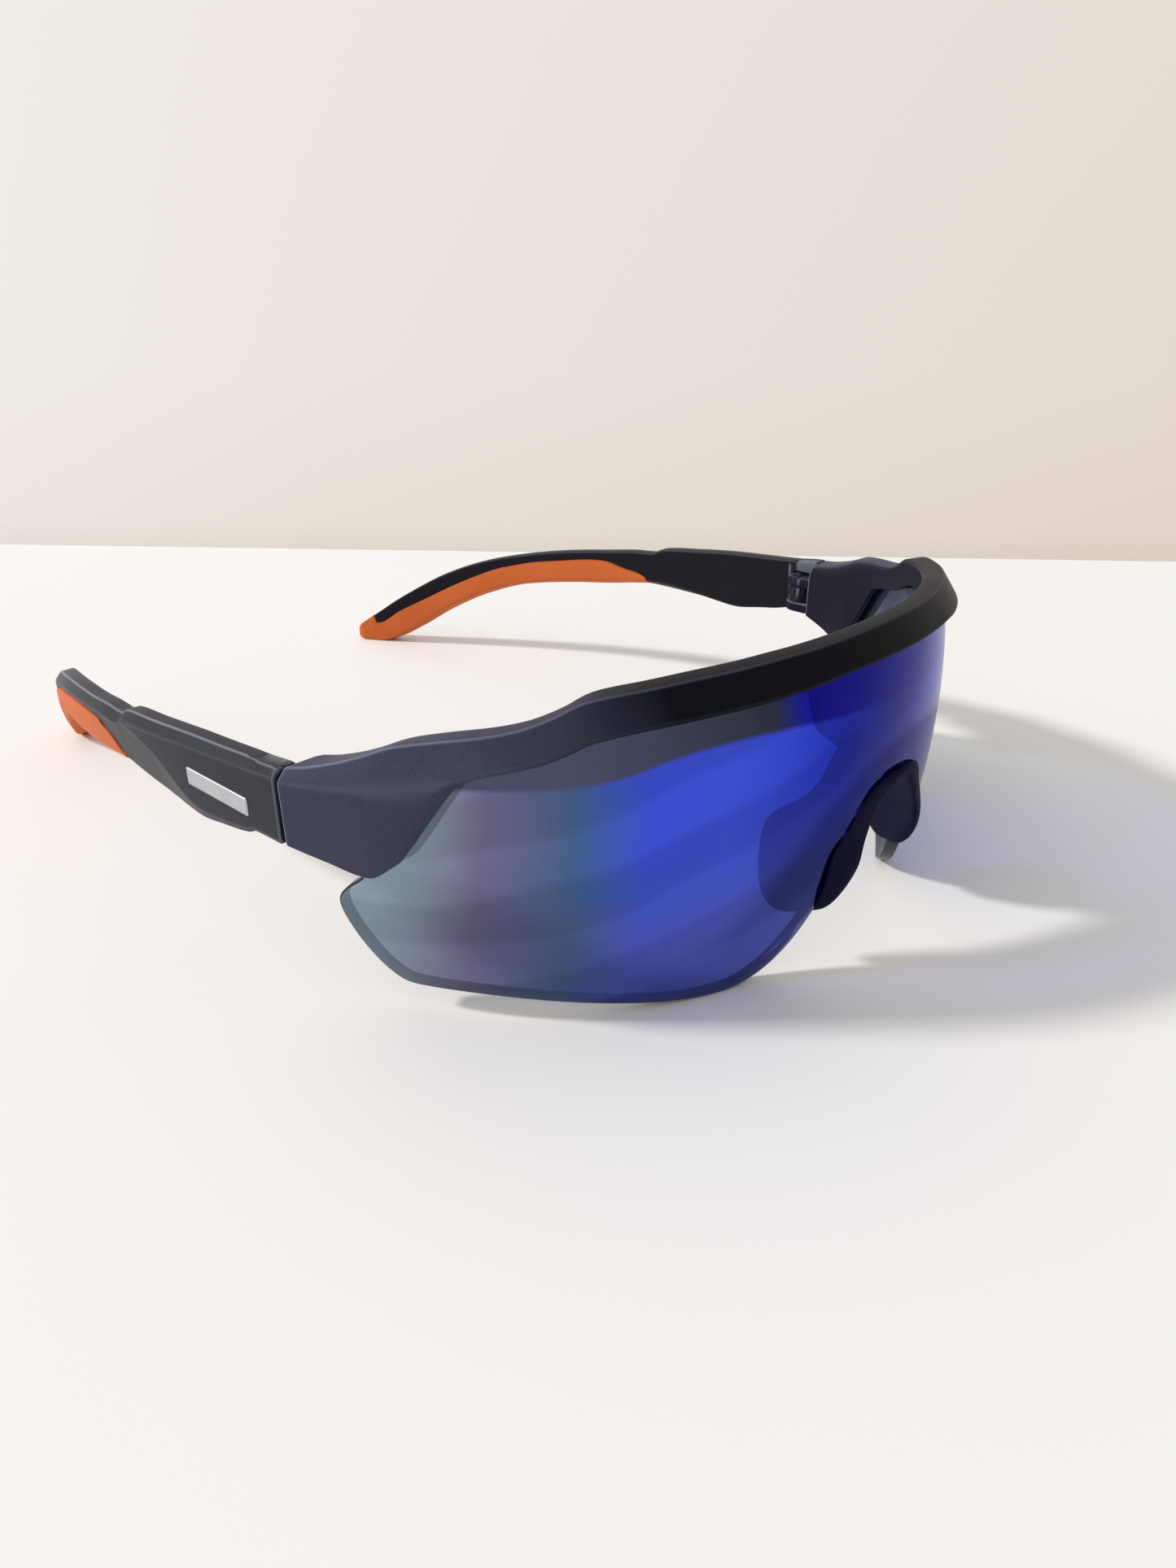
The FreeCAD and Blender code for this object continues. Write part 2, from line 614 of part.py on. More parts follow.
def make_temple(doc, size):
    body = new_body(doc, "temple_left")
    temple_loft(body, size, 0.0)
    split_at_seam(body, size, False, 0.0)
    front = size["temple_front_y"]

    x, y = size["hinge_x"], size["hinge_y"]
    room = new_sketch(body, "ear_room", "XY_Plane")
    draw(room, ear_profile(size, 1.0, size["hinge_side_clearance"]))
    cut(body, room, Size(2 * REACH, f"{2 * REACH}"), both_ways=True)

    low = size["ear_low_z"] + size["ear_thickness"] + size["hinge_end_clearance"]
    high = size["ear_high_z"] - size["ear_thickness"] - size["hinge_end_clearance"]
    knuckle = new_sketch(body, "knuckle", "XY_Plane", low)
    radius = size["barrel_radius"]
    skin = size["half_width"] - size["temple_thickness"] * 0.25
    ahead, aside = (x, y - radius), (x - radius, y)
    draw(knuckle, [[(x, y + radius), aside, ahead], [ahead, (skin, y - radius)],
                   [(skin, y - radius), (skin, y + radius)], [(skin, y + radius), (x, y + radius)]])
    pad(body, knuckle, high - low)
    bore = new_sketch(body, "knuckle_bore", "XY_Plane", low - 1.0)
    circle(bore, x, y, size["screw_radius"] + size["screw_running_clearance"])
    cut(body, bore, high - low + 2.0)

    grow = size["inlay_clearance"]
    seat = new_sketch(body, "inlay_seat", "XY_Plane", size["inlay_low_z"] - grow)
    start = front + size["inlay_start"] - grow
    finish = start + size["inlay_length"] + grow * 2.0
    draw(seat, strip(size, start, finish, Size(-1.0, "-1"), size["inlay_depth"] + grow))
    cut(body, seat, size["inlay_height"] + grow * 2.0)
    return body


def make_inlay(doc, size):
    body = new_body(doc, "temple_inlay_left")
    plan = new_sketch(body, "inlay_plan", "XY_Plane", size["inlay_low_z"])
    start = size["temple_front_y"] + size["inlay_start"]
    finish = start + size["inlay_length"]
    draw(plan, strip(size, start, finish, -size["inlay_stand_out"], size["inlay_depth"]))
    pad(body, plan, size["inlay_height"])
    return body


def make_grip(doc, size):
    body = new_body(doc, "temple_grip_left")
    temple_loft(body, size, size["grip_stand_out"].value)
    split_at_seam(body, size, True, size["grip_clearance"].value)
    # the tip stands on a small flat
    flat = new_sketch(body, "grip_foot_flat", "YZ_Plane")
    far = Size(REACH, f"{REACH}")
    draw(flat, polygon([(0.0, -far), (far * 2.0, -far), (far * 2.0, 0.0), (0.0, 0.0)]))
    cut(body, flat, far * 2.0, both_ways=True)
    return body


# Hinge screws and their threaded inserts


def make_screw(doc, size):
    body = new_body(doc, "hinge_screw_left")
    x, y = size["hinge_x"], size["hinge_y"]
    foot = size["insert_foot_z"]
    head = size["ear_high_z"] - size["screw_head_height"]
    shank = new_sketch(body, "screw_shank", "XY_Plane", foot)
    circle(shank, x, y, size["screw_radius"])
    pad(body, shank, size["ear_high_z"] - foot)
    cap = new_sketch(body, "screw_head", "XY_Plane", head)
    circle(cap, x, y, size["screw_head_radius"])
    pad(body, cap, size["screw_head_height"])
    slot = new_sketch(body, "screw_slot", "XY_Plane", size["ear_high_z"] - size["screw_slot_depth"])
    near, far = y - size["screw_slot_width"] / 2.0, y + size["screw_slot_width"] / 2.0
    left, right = x - size["screw_head_radius"] * 1.5, x + size["screw_head_radius"] * 1.5
    draw(slot, polygon([(left, near), (right, near), (right, far), (left, far)]))
    cut(body, slot, size["screw_head_height"])
    return body


def make_insert(doc, size):
    body = new_body(doc, "hinge_insert_left")
    x, y = size["hinge_x"], size["hinge_y"]
    foot = size["insert_foot_z"]
    ring = new_sketch(body, "insert_ring", "XY_Plane", foot)
    circle(ring, x, y, size["insert_radius"])
    circle(ring, x, y, size["screw_radius"] + size["insert_clearance"])
    pad(body, ring, size["insert_height"])
    return body


def other_side(doc, piece):
    """The right-hand twin of a left-hand piece."""
    twin = doc.addObject("Part::Mirroring", piece.Name.replace("left", "right"))
    twin.Source = piece
    twin.Normal = Vector(1, 0, 0)
    twin.Label = piece.Label.replace("left", "right")
    return twin


def main():
    doc = FreeCAD.newDocument("sport_sunglasses")
    size = make_sheet(doc)
    lens = make_lens(doc, size, "shield_lens", 0.0)
    seat = make_lens(doc, size, "lens_seat", size["lens_clearance"].value)
    frame = less_lens(doc, "frame_less_lens", make_frame_blank(doc, size), seat, "front_frame")
    nose_pad = less_lens(doc, "pad_less_lens", make_pad_blank(doc, size), seat, "nose_pad")
    left = [make_temple(doc, size), make_grip(doc, size), make_inlay(doc, size),
            make_screw(doc, size), make_insert(doc, size)]
    doc.recompute()
    right = [other_side(doc, piece) for piece in left]
    pieces = [frame, lens, nose_pad] + left + right
    doc.recompute()

    back = size["temple_front_y"].value + size["temple_length"].value
    middle = (back + size["pad_front_y"].value) / 2.0
    for piece in [frame, lens, nose_pad] + left:
        piece.Placement = FreeCAD.Placement(Vector(0, -middle, 0), FreeCAD.Rotation())
    doc.recompute()

    failed = [item.Label for item in doc.Objects if {"Invalid", "Error"} & set(item.State)]
    if failed:
        raise RuntimeError(f"failed: {failed}")
    for piece in pieces:
        if piece.Shape.isNull() or not piece.Shape.isValid():
            raise RuntimeError(f"bad shape: {piece.Label}")
    os.makedirs("parts", exist_ok=True)
    for piece in pieces:
        piece.Shape.exportStep(f"parts/{piece.Label}.step")
        print(f"{piece.Label:20s} solids {len(piece.Shape.Solids)} volume {piece.Shape.Volume:9.2f}")


main()
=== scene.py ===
import math

import bmesh
import bpy
import numpy as np
from mathutils import Matrix, Vector
from mathutils.geometry import delaunay_2d_cdt


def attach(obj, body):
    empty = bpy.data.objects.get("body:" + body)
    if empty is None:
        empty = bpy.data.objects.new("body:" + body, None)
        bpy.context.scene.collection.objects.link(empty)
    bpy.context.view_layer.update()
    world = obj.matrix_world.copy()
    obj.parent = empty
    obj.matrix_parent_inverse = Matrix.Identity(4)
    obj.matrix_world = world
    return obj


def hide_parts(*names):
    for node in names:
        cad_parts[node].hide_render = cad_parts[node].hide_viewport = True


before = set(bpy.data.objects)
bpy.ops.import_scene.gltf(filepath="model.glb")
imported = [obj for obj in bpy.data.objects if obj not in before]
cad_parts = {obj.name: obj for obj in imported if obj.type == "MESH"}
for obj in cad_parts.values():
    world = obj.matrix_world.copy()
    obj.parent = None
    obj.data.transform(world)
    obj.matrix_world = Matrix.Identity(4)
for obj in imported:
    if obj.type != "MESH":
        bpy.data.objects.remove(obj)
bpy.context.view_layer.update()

# Sizes are in millimetres and heights from the table. y is measured back from the front of the lens
# while a piece is drawn, and Z is up. +X is the wearer's left.
MM = 0.001
MIDDLE_Y = 85.1175      # from the front of the lens back to the middle of the glasses
CRISP = 35.0            # edges that turn by more degrees than this stay sharp
STEPS = 4               # pieces in a rounded corner

# front frame: a ring about an upright axis, with the lens's barrel as its inner wall
RING_RADIUS, RING_Y = 71.9, 72.3
BARREL_RADIUS, BARREL_Y, BULGE, BELT = 65.9, 66.2, 104.6, 28.5
LENS_THICKNESS = 2.0
LENS_EDGE, LENS_TURN = 0.3, 0.08        # how far the sheet's edges are rounded, and the middle of that round
LENS_GRID, LENS_RIM = 1.7, 1.3          # between the mesh points of the sheet, and from its outline to them
WALL = 1.3              # frame wall behind the lens
LENS_PLAY, LENS_ROOM = 0.12, 0.27       # between that wall and the lens, and the groove's spare width
GROOVE_END = 41.1       # how far back the groove runs
SEAM_Y = 49.235
SEAM_ANGLE = math.degrees(math.acos((RING_Y - SEAM_Y) / RING_RADIUS))

# tables along the front: (angle from the middle, value)
BAR_TOP = [
    (0, 50.9), (19.6, 50.1), (25.5, 49.6), (30.8, 49.1), (35.9, 48.4), (39.9, 47.8), (41.5, 47.4),
    (42.8, 46.8), (44.2, 45.9), (46.6, 44.7), (48.1, 44.1), (51.3, 43.3), (56.1, 42.5), (60.1, 41.6),
    (63, 40.2), (66, 38.9), (69, 37.9), (71.3, 37.4)]
BAR_FOOT = [
    (0, 47.05), (10.4, 46.9), (14.9, 46.3), (18.6, 45.9), (22.6, 45.5), (28.9, 44.9), (33.1, 44.4),
    (37.9, 43.6), (40.5, 42.9), (42.8, 41.6), (45.1, 40.5), (49.7, 39.2), (52.4, 38.4), (53.4, 37.8),
    (54.7, 35.9), (57, 31.9), (59.7, 27.0), (61.2, 24.8), (62.2, 24.3), (66.8, 25.7), (71.3, 27.0)]
BAR_CREASE = [
    (0, 47.6), (10.4, 47.4), (14.9, 46.9), (22.6, 46.1), (28.9, 45.5), (33.1, 45.0), (37.9, 44.2),
    (40.5, 43.6), (42.8, 42.3), (45.1, 41.2), (49.7, 39.8), (52.9, 38.7), (56, 37.6), (59.1, 36.9),
    (62.3, 36.5), (67.4, 36.0), (71.3, 35.8)]
BAR_BEVEL = [(0, 2.8), (50, 2.6), (60, 2.2), (66, 1.7), (71.3, 1.3)]
CREASE_ROUND = [(0, 0.5), (46, 0.6), (52, 1.6), (58, 2.0), (64, 0.8), (71.3, 0.4)]
REAR_ROUND = [(0, 0.7), (45, 0.8), (55, 1.6), (62, 2.6), (71.3, 2.6)]

# lens outline: top, foot and nose as (x, z), and the rear end as (y, z)
LENS_TOP = [
    (0, 48.3), (23.2, 47.6), (35.5, 46.6), (43.5, 45.5), (46.6, 44.5), (50.4, 42.2), (54.4, 40.6),
    (57.8, 38.6), (60.3, 36.8)]
LENS_REAR = [
    (40.75, 36.4), (40.8, 30.0), (41.3, 25.0), (43.0, 21.9), (45.4, 19.8), (46.9, 17.9), (47.1, 16.3),
    (46.2, 13.2), (44.3, 9.2), (42.3, 6.2), (40.6, 4.7)]
LENS_FOOT = [
    (57.0, 4.35), (52.1, 4.0), (46.5, 3.1), (39.7, 1.75), (33.7, 0.62), (28.0, 0.045), (23.8, 0.3),
    (19.8, 2.5), (16.4, 6.5), (13.4, 12.4), (12.1, 16.2), (11.0, 20.2), (8.9, 23.4), (6.6, 26.4),
    (3.6, 28.1), (0.0, 28.5)]

# hinge
HINGE_X, HINGE_Y = 63.2, 52.435
LOWER_EAR, UPPER_EAR, KNUCKLE = (27.25, 29.05), (32.45, 34.25), (29.2, 32.3)
EAR_RADIUS, EAR_ROOT = 2.8, 6.2
KNUCKLE_RADIUS, KNUCKLE_ROOT = 2.6, 3.95
SHANK_BORE, INSERT_BORE = 0.95, 1.53
HEAD_SEAT, HEAD_DEPTH = 1.75, 0.8
LEAF_POINTS = 72        # round each leaf
RELIEF_RADIUS = 3.1     # room for the ears in the temple's front end
RELIEF_TOP = 34.6

# temples: strips that run straight back, and then bend inwards in plan
STRAIGHT, BEND_RADIUS, HALF_WIDTH, TEMPLE_THICKNESS, TEMPLE_BEVEL = 20.0, 200.0, 68.3, 3.8, 1.3
TEMPLE_Y, TEMPLE_LENGTH = 49.535, 121.5
TEMPLE_TOP = [
    (0, 37.3), (5.6, 36.8), (7.2, 36.7), (13.5, 36.2), (20.5, 35.7), (31.5, 34.5), (39.8, 33.4),
    (40.5, 33.15), (42.0, 32.35), (42.8, 32.2), (48, 31.8), (54.5, 30.9), (66.5, 29.2), (78.5, 26.8),
    (88.5, 24.0), (98, 19.9), (106.5, 14.7), (112, 10.8), (114.5, 8.8), (118.8, 5.4), (120.7, 3.8),
    (121.5, 2.7)]
TEMPLE_FOOT = [
    (0, 27.0), (5.6, 26.8), (7.2, 26.1), (13.5, 24.7), (20.5, 23.5), (31.5, 23.8), (39.8, 24.1),
    (42.8, 24.2), (48, 23.6), (54.5, 22.5), (66.5, 20.9), (78.5, 18.8), (88.5, 15.2), (98, 10.1),
    (106.5, 4.2), (112, 0.9), (114.5, 0.0), (118.8, 0.0), (120.7, 0.4), (121.5, 1.0)]
UPPER_BEVEL = [
    (0, 1.1), (5.6, 1.2), (13.5, 1.3), (20.5, 1.4), (31.5, 1.5), (39.8, 1.6), (42.8, 1.4), (112, 1.4),
    (118.8, 1.1), (120.7, 0.7), (121.5, 0.4)]
LOWER_BEVEL = [
    (0, 0.5), (5.6, 0.5), (7.2, 0.6), (13.5, 1.0), (20.5, 2.1), (31.5, 6.5), (39.8, 7.4), (42.8, 6.4),
    (48, 6.3), (54.5, 5.4), (66.5, 4.4), (78.5, 3.4), (88.5, 2.8), (106.5, 2.6), (112, 2.2), (118.8, 1.2),
    (120.7, 0.7), (121.5, 0.4)]
LOWER_LEAN = [
    (0, 0.2), (7.2, 0.2), (13.5, 0.4), (20.5, 0.8), (31.5, 1.3), (54.5, 1.2), (78.5, 1.0), (112, 1.0),
    (118.8, 0.7), (121.5, 0.4)]
FOOT_RISE = [
    (0, 0.0), (7.2, 0.0), (13.5, 0.1), (20.5, 0.3), (31.5, 1.1), (39.8, 1.4), (42.8, 1.2), (54.5, 1.4),
    (66.5, 1.3), (78.5, 0.9), (98, 0.7), (112, 0.2), (114.5, 0.0), (121.5, 0.0)]
# where the rubber begins, as (run, z), on the inner and on the outer face, which have their rear part alike
SEAM_REAR = [
    (84.3, 22.7), (89.5, 20.4), (96.3, 16.9), (103.1, 12.9), (109.9, 8.9), (115.9, 5.0), (117.3, 10.0)]
SEAM_INNER = [
    (43.5, 25.0), (44.0, 26.4), (50.2, 27.5), (55.2, 28.5), (68.9, 26.6), (74.4, 25.6),
    (79.2, 24.3), *SEAM_REAR]
SEAM_OUTER = [
    (44.2, 24.4), (45.7, 26.0), (47.0, 27.4), (49.4, 28.5), (50.0, 29.3), (54.4, 29.0), (59.0, 28.5),
    (64.5, 27.8), (71.9, 26.3), (76.7, 25.3), *SEAM_REAR]
GRIP_PROUD, GRIP_GAP = 0.2, 0.06
TIP_REACH, TIP_RADIUS = 2.35, 2.4       # the rounded end of each temple
END_ROUND = 0.3         # round the edges of its front end

# nose pad stations from the foot of one wing up to the middle of the arch: place on the lens edge as
# (x, z), then outer lip, front edge, rear edge inside and rear edge outside as (x, y, z), and how far the lip
# and the middle of the front stand forward
PAD_STATIONS = [
    ((13.9, 11.3), (14.1, 3.1, 11.2), (12.4, 3.5, 9.7), (14.6, 7.4, 8.5), (15.6, 7.0, 8.9), 0.8, 0.4),
    ((12.9, 13.8), (13.9, 2.6, 14.0), (10.9, 2.1, 11.2), (15.6, 10.6, 10.0), (17.1, 10.0, 10.4), 0.9, 1.3),
    ((12.1, 16.2), (13.9, 2.1, 17.0), (9.4, 0.4, 14.2), (16.2, 12.0, 14.0), (17.7, 11.1, 14.6), 0.9, 1.2),
    ((11.5, 18.5), (13.9, 1.8, 19.4), (8.1, -0.9, 17.2), (16.2, 12.2, 19.0), (17.7, 11.3, 19.8), 0.7, 0.45),
    ((10.85, 20.5), (13.2, 1.55, 21.4), (7.5, -0.8, 19.2), (15.9, 12.0, 22.6), (17.4, 11.1, 24.5),
     0.45, -0.1),
    ((9.6, 22.5), (11.1, 1.0, 22.9), (6.8, -0.5, 21.5), (14.0, 10.8, 24.2), (15.2, 10.0, 26.1), 0.4, 0.0),
    ((7.6, 25.3), (9.3, 0.6, 26.2), (5.5, -0.4, 24.0), (10.0, 8.6, 25.0), (11.0, 8.2, 26.2), 0.4, 0.0),
    ((4.9, 27.6), (6.9, 0.35, 28.1), (3.9, -0.6, 26.4), (6.4, 8.2, 27.4), (7.6, 7.8, 28.4), 0.5, 0.1),
    ((2.6, 28.3), (3.8, 0.0, 28.8), (2.0, -0.7, 27.5), (3.6, 8.3, 30.2), (4.8, 8.0, 32.2), 0.6, 0.2),
    ((0.0, 28.5), (0.0, 0.0, 29.0), (0.0, -0.7, 27.8), (0.0, 8.2, 31.2), (0.0, 7.8, 33.2), 0.6, 0.3),
]

PAD_PLAY, PAD_OVERLAP = 0.1, 1.8        # between pad and lens, and how far the pad laps over its inner face
LIP_PRESS = 0.12        # into the lens, which the smoothing of the pad takes back

# inlay bar on the outer face of each temple
INLAY_RUN, INLAY_LENGTH, INLAY_Z, INLAY_HEIGHT = 6.5, 14.0, 30.05, 2.6
INLAY_DEPTH, INLAY_PROUD, INLAY_CORNER = 0.5, 0.2, 0.22


SIDES = ("left", 1), ("right", -1)


# Curves and outlines


def along(table, places):
    """Read a table of (place, value) pairs smoothly, without overshoot, level where it starts at nought."""
    xs, ys = np.array(table, float).T
    step = np.diff(xs)
    slope = np.diff(ys) / step
    tangent = np.zeros(len(xs))
    for k in range(1, len(xs) - 1):
        if slope[k - 1] * slope[k] > 0:
            near, far = 2 * step[k] + step[k - 1], step[k] + 2 * step[k - 1]
            tangent[k] = (near + far) / (near / slope[k - 1] + far / slope[k])
    tangent[-1] = slope[-1]
    at = np.clip(np.asarray(places, float), xs[0], xs[-1])
    k = np.clip(np.searchsorted(xs, at, side="right") - 1, 0, len(xs) - 2)
    t = (at - xs[k]) / step[k]
    return ((2 * t ** 3 - 3 * t ** 2 + 1) * ys[k] + (t ** 3 - 2 * t ** 2 + t) * step[k] * tangent[k]
            + (3 * t ** 2 - 2 * t ** 3) * ys[k + 1] + (t ** 3 - t ** 2) * step[k] * tangent[k + 1])


def smooth_chain(points, spacing):
    """Evenly spaced points on a smooth curve through the given ones."""
    knots = np.array(points, float)
    ends = np.vstack([2 * knots[0] - knots[1], knots, 2 * knots[-1] - knots[-2]])
    dense = []
    for k in range(1, len(ends) - 2):
        a, b, c, d = ends[k - 1:k + 3]
        gaps = [max(np.linalg.norm(q - p), 1e-9) ** 0.5 for p, q in ((a, b), (b, c), (c, d))]
        times = np.cumsum([0.0] + gaps)
        t = np.linspace(times[1], times[2], 24, endpoint=False)[:, None]

        def mix(p, q, low, high):
            return (high - t) / (high - low) * p + (t - low) / (high - low) * q

        first, second, third = (mix(a, b, times[0], times[1]), mix(b, c, times[1], times[2]),
                                mix(c, d, times[2], times[3]))
        dense.append(mix(mix(first, second, times[0], times[2]), mix(second, third, times[1], times[3]),
                         times[1], times[2]))
    dense = np.vstack(dense + [knots[-1:]])
    walked = walk(dense)
    places = np.linspace(0.0, walked[-1], max(2, int(round(walked[-1] / spacing)) + 1))
    return np.column_stack([np.interp(places, walked, dense[:, axis]) for axis in range(dense.shape[1])])


def round_corners(corners, radii):
    """A closed outline whose corners are short curves. Every corner gives STEPS + 1 points."""
    corners = np.array(corners, float)
    back = np.roll(corners, 1, axis=0) - corners
    ahead = np.roll(corners, -1, axis=0) - corners
    back_length, ahead_length = np.maximum(lengths(back), 1e-9), np.maximum(lengths(ahead), 1e-9)
    reach = np.minimum(radii, 0.45 * np.minimum(back_length, ahead_length))
    start = corners + back * (reach / back_length)[:, None]
    stop = corners + ahead * (reach / ahead_length)[:, None]
    turns = [quadratic(t, start, corners, stop) for t in np.linspace(0, 1, STEPS + 1)]
    return np.stack(turns, axis=1).reshape(-1, corners.shape[1])


def lengths(vectors):
    return np.linalg.norm(vectors, axis=1)


def upright(flat, y):
    """Points (x, z) stood up at one y."""
    return np.c_[flat[:, 0], np.full(len(flat), y), flat[:, 1]]


def quadratic(t, start, middle, stop):
    return (1 - t) ** 2 * start + 2 * t * (1 - t) * middle + t ** 2 * stop


def walk(path):
    """How far along a path each of its points is."""
    return np.r_[0.0, np.cumsum(lengths(np.diff(path, axis=0)))]


def readings(place, *tables):
    return [float(along(table, place)) for table in tables]


# Meshes


def added(name, data):
    piece = bpy.data.objects.new(name, data)
    bpy.context.scene.collection.objects.link(piece)
    return piece


def piece_from(name, points, faces, crisp=CRISP):
    """A mesh object from points in millimetres, with doubles merged and the faces turned outwards. A fourth
    number with each point says how strongly that edge takes the painted highlight; on the grips it marks the
    redder seam rim."""
    mesh = bpy.data.meshes.new(name)
    points = np.array(points, float)
    places = (points[:, :3] - (0.0, MIDDLE_Y, 0.0)) * MM
    mesh.from_pydata(places.tolist(), [], [list(map(int, face)) for face in faces])
    highlight_and_rim = mesh.attributes.new("highlight_and_rim", "FLOAT", "POINT")
    if points.shape[1] > 3:
        highlight_and_rim.data.foreach_set("value", points[:, 3])
    clean(mesh, crisp)
    return added(name, mesh)


def clean(mesh, crisp, merge=2e-6):
    work = bmesh.new()
    work.from_mesh(mesh)
    bmesh.ops.remove_doubles(work, verts=work.verts, dist=merge)
    bmesh.ops.dissolve_degenerate(work, edges=work.edges, dist=merge / 2)
    bmesh.ops.recalc_face_normals(work, faces=work.faces)
    work.to_mesh(mesh)
    work.free()
    for polygon in mesh.polygons:
        polygon.use_smooth = True
    mesh.set_sharp_from_angle(angle=math.radians(crisp))


def loft_faces(rows, columns, closed_rows=False):
    """Quads of a tube of rows of points, each row a closed ring."""
    faces = []
    for row in range(rows if closed_rows else rows - 1):
        here, there = row * columns, ((row + 1) % rows) * columns
        for column in range(columns):
            beside = (column + 1) % columns
            faces.append((here + column, here + beside, there + beside, there + column))
    return faces


def lofted(rings):
    """Points and faces of a tube through rings of equal length, closed at both ends."""
    rings = np.array(rings, float)
    rows, columns, width = rings.shape
    caps = [tuple(range(columns)), tuple(reversed(range((rows - 1) * columns, rows * columns)))]
    return rings.reshape(-1, width), loft_faces(rows, columns) + caps


def turned(rings):
    """Points and faces of a shell whose last ring meets its first."""
    return rings.reshape(-1, 3), loft_faces(len(rings), rings.shape[1], closed_rows=True)


def mirrored(points):
    points = np.array(points, float)
    points[..., 0] *= -1.0
    return points


def arc_highlight_weights(weights):
    """How strongly each point of rounded corners takes the painted highlight: most in the middle of the
    curve.
    """
    rise = 1.0 - np.abs(np.linspace(-1.0, 1.0, STEPS + 1))
    return np.concatenate([weight * rise for weight in weights])


def unite(piece, others):
    """Join closed shells into one skin, with no walls left inside."""
    for other in others:
        change = piece.modifiers.new("unite", "BOOLEAN")
        change.operation = "UNION"
        change.solver = "EXACT"
        change.object = other
        settle(piece)
        bpy.data.objects.remove(other)
    clean(piece.data, CRISP)


def settle(piece):
    """Turn a piece's modifiers into plain mesh."""
    graph = bpy.context.evaluated_depsgraph_get()
    mesh = bpy.data.meshes.new_from_object(piece.evaluated_get(graph))
    piece.modifiers.clear()
    old = piece.data
    piece.data = mesh
    mesh.name = piece.name
    bpy.data.meshes.remove(old)


def finish_piece(piece, material, body, stands_for):
    """Give a piece its material and its place among the moving bodies."""
    if material is not None:
        piece.data.materials.clear()
        piece.data.materials.append(material)
    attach(piece, body)
    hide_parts(*stands_for)


# Lens surface


def barrel(z, inset):
    """Radius of the lens's barrel at height z, inset from its outer face."""
    return BARREL_RADIUS - BULGE + np.sqrt((BULGE - inset) ** 2 - (np.asarray(z, float) - BELT) ** 2)


def on_lens(place, inset, stand_off):
    """A point over another one's x and z, so far behind the outer or the inner face of the lens."""
    x, z = place[0], place[-1]
    return np.array((x, BARREL_Y - np.sqrt(barrel(z, inset) ** 2 - x ** 2) + stand_off, z))


# Front frame


def ring_points(angle, spots):
    """Places in one section of the front. A spot is measured inwards from the outer ring, or outwards
    from the inner wall."""
    radians = math.radians(angle)
    outer = np.array((RING_RADIUS * math.sin(radians), RING_Y - RING_RADIUS * math.cos(radians)))
    share = angle / SEAM_ANGLE
    places = []
    for origin, distance, z in spots:
        radius = float(barrel(z, LENS_THICKNESS + LENS_PLAY + WALL))
        turn = share * math.acos((BARREL_Y - SEAM_Y) / radius)
        inner = np.array((radius * math.sin(turn), BARREL_Y - radius * math.cos(turn)))
        way = (inner - outer) / np.linalg.norm(inner - outer)
        plan = outer + way * distance if origin == "outer" else inner - way * distance
        places.append((plan[0], plan[1], z))
    return np.array(places)


def frame_section(angle, shrink):
    """One ring of points round the bar, with the groove that holds the lens."""
    size = abs(angle)
    top, foot, crease, bevel, crease_round, rear_round = readings(
        size, BAR_TOP, BAR_FOOT, BAR_CREASE, BAR_BEVEL, CREASE_ROUND, REAR_ROUND)
    tuck = float(np.interp(size, [0, 50, 54, 71.3], [0.5, 0.4, 0.15, 0.15]))
    front_of_groove = WALL + LENS_THICKNESS + LENS_ROOM
    middle = ring_points(size, [("inner", WALL + 1.0, foot)])[0]
    in_groove = middle[1] < GROOVE_END
    groove = float(np.interp(middle[0], *np.array(LENS_TOP).T)) + 0.2 if in_groove else foot + 0.02
    spots = [("outer", tuck, foot), ("outer", 0.0, crease), ("outer", bevel, top), ("inner", 0.0, top - 0.15),
             ("inner", 0.0, foot), ("inner", WALL - 0.03, foot), ("inner", WALL - 0.03, groove),
             ("inner", front_of_groove, groove), ("inner", front_of_groove, foot)]
    radii = [0.3, crease_round, 0.4, rear_round, 0.4, 0.0, 0.0, 0.0, 0.0]
    ring = round_corners(ring_points(size, spots), radii)
    if shrink > 0:
        centre = (ring.max(0) + ring.min(0)) / 2
        less = 1 - 2 * shrink / (ring.max(0) - ring.min(0)) * (1, 0, 1)
        ring = centre + (ring - centre) * less
    # painted highlight: the crease and top edge are marked lighter, most towards the ends of the front, and
    # the rounded rim at each end fully
    highlight_fade = float(np.interp(size, [0, 38, 56, 71.3], [0.15, 0.3, 0.9, 1.0]))
    highlight_and_rim = arc_highlight_weights([0, 0.15, 0.8, 0, 0, 0, 0, 0, 0]) * highlight_fade
    if 0 < shrink < 0.2:
        highlight_and_rim = np.maximum(highlight_and_rim, 0.8)
    ring = np.c_[ring, highlight_and_rim]
    return ring if angle >= 0 else mirrored(ring)


def ear_reach(angle, radius, root):
    """How far a leaf's outline is from the hinge axis, with straight sides towards its root at angle 0."""
    if math.cos(angle) <= 0:
        return radius
    return min(radius / max(abs(math.sin(angle)), 1e-6), root / max(math.cos(angle), 1e-6))


def leaf(radius, root, heading, levels):
    """A hinge leaf: rings at (inset, height) from its outline, or at (-radius, height) round its bore."""
    rings = []
    for inset, z in levels:
        ring = []
        for angle in 2 * math.pi * np.arange(LEAF_POINTS) / LEAF_POINTS:
            out = -inset if inset < 0 else ear_reach(angle, radius, root) - inset
            turn = angle + heading
            ring.append((HINGE_X + out * math.cos(turn), HINGE_Y + out * math.sin(turn), z))
        rings.append(ring)
    return np.array(rings)


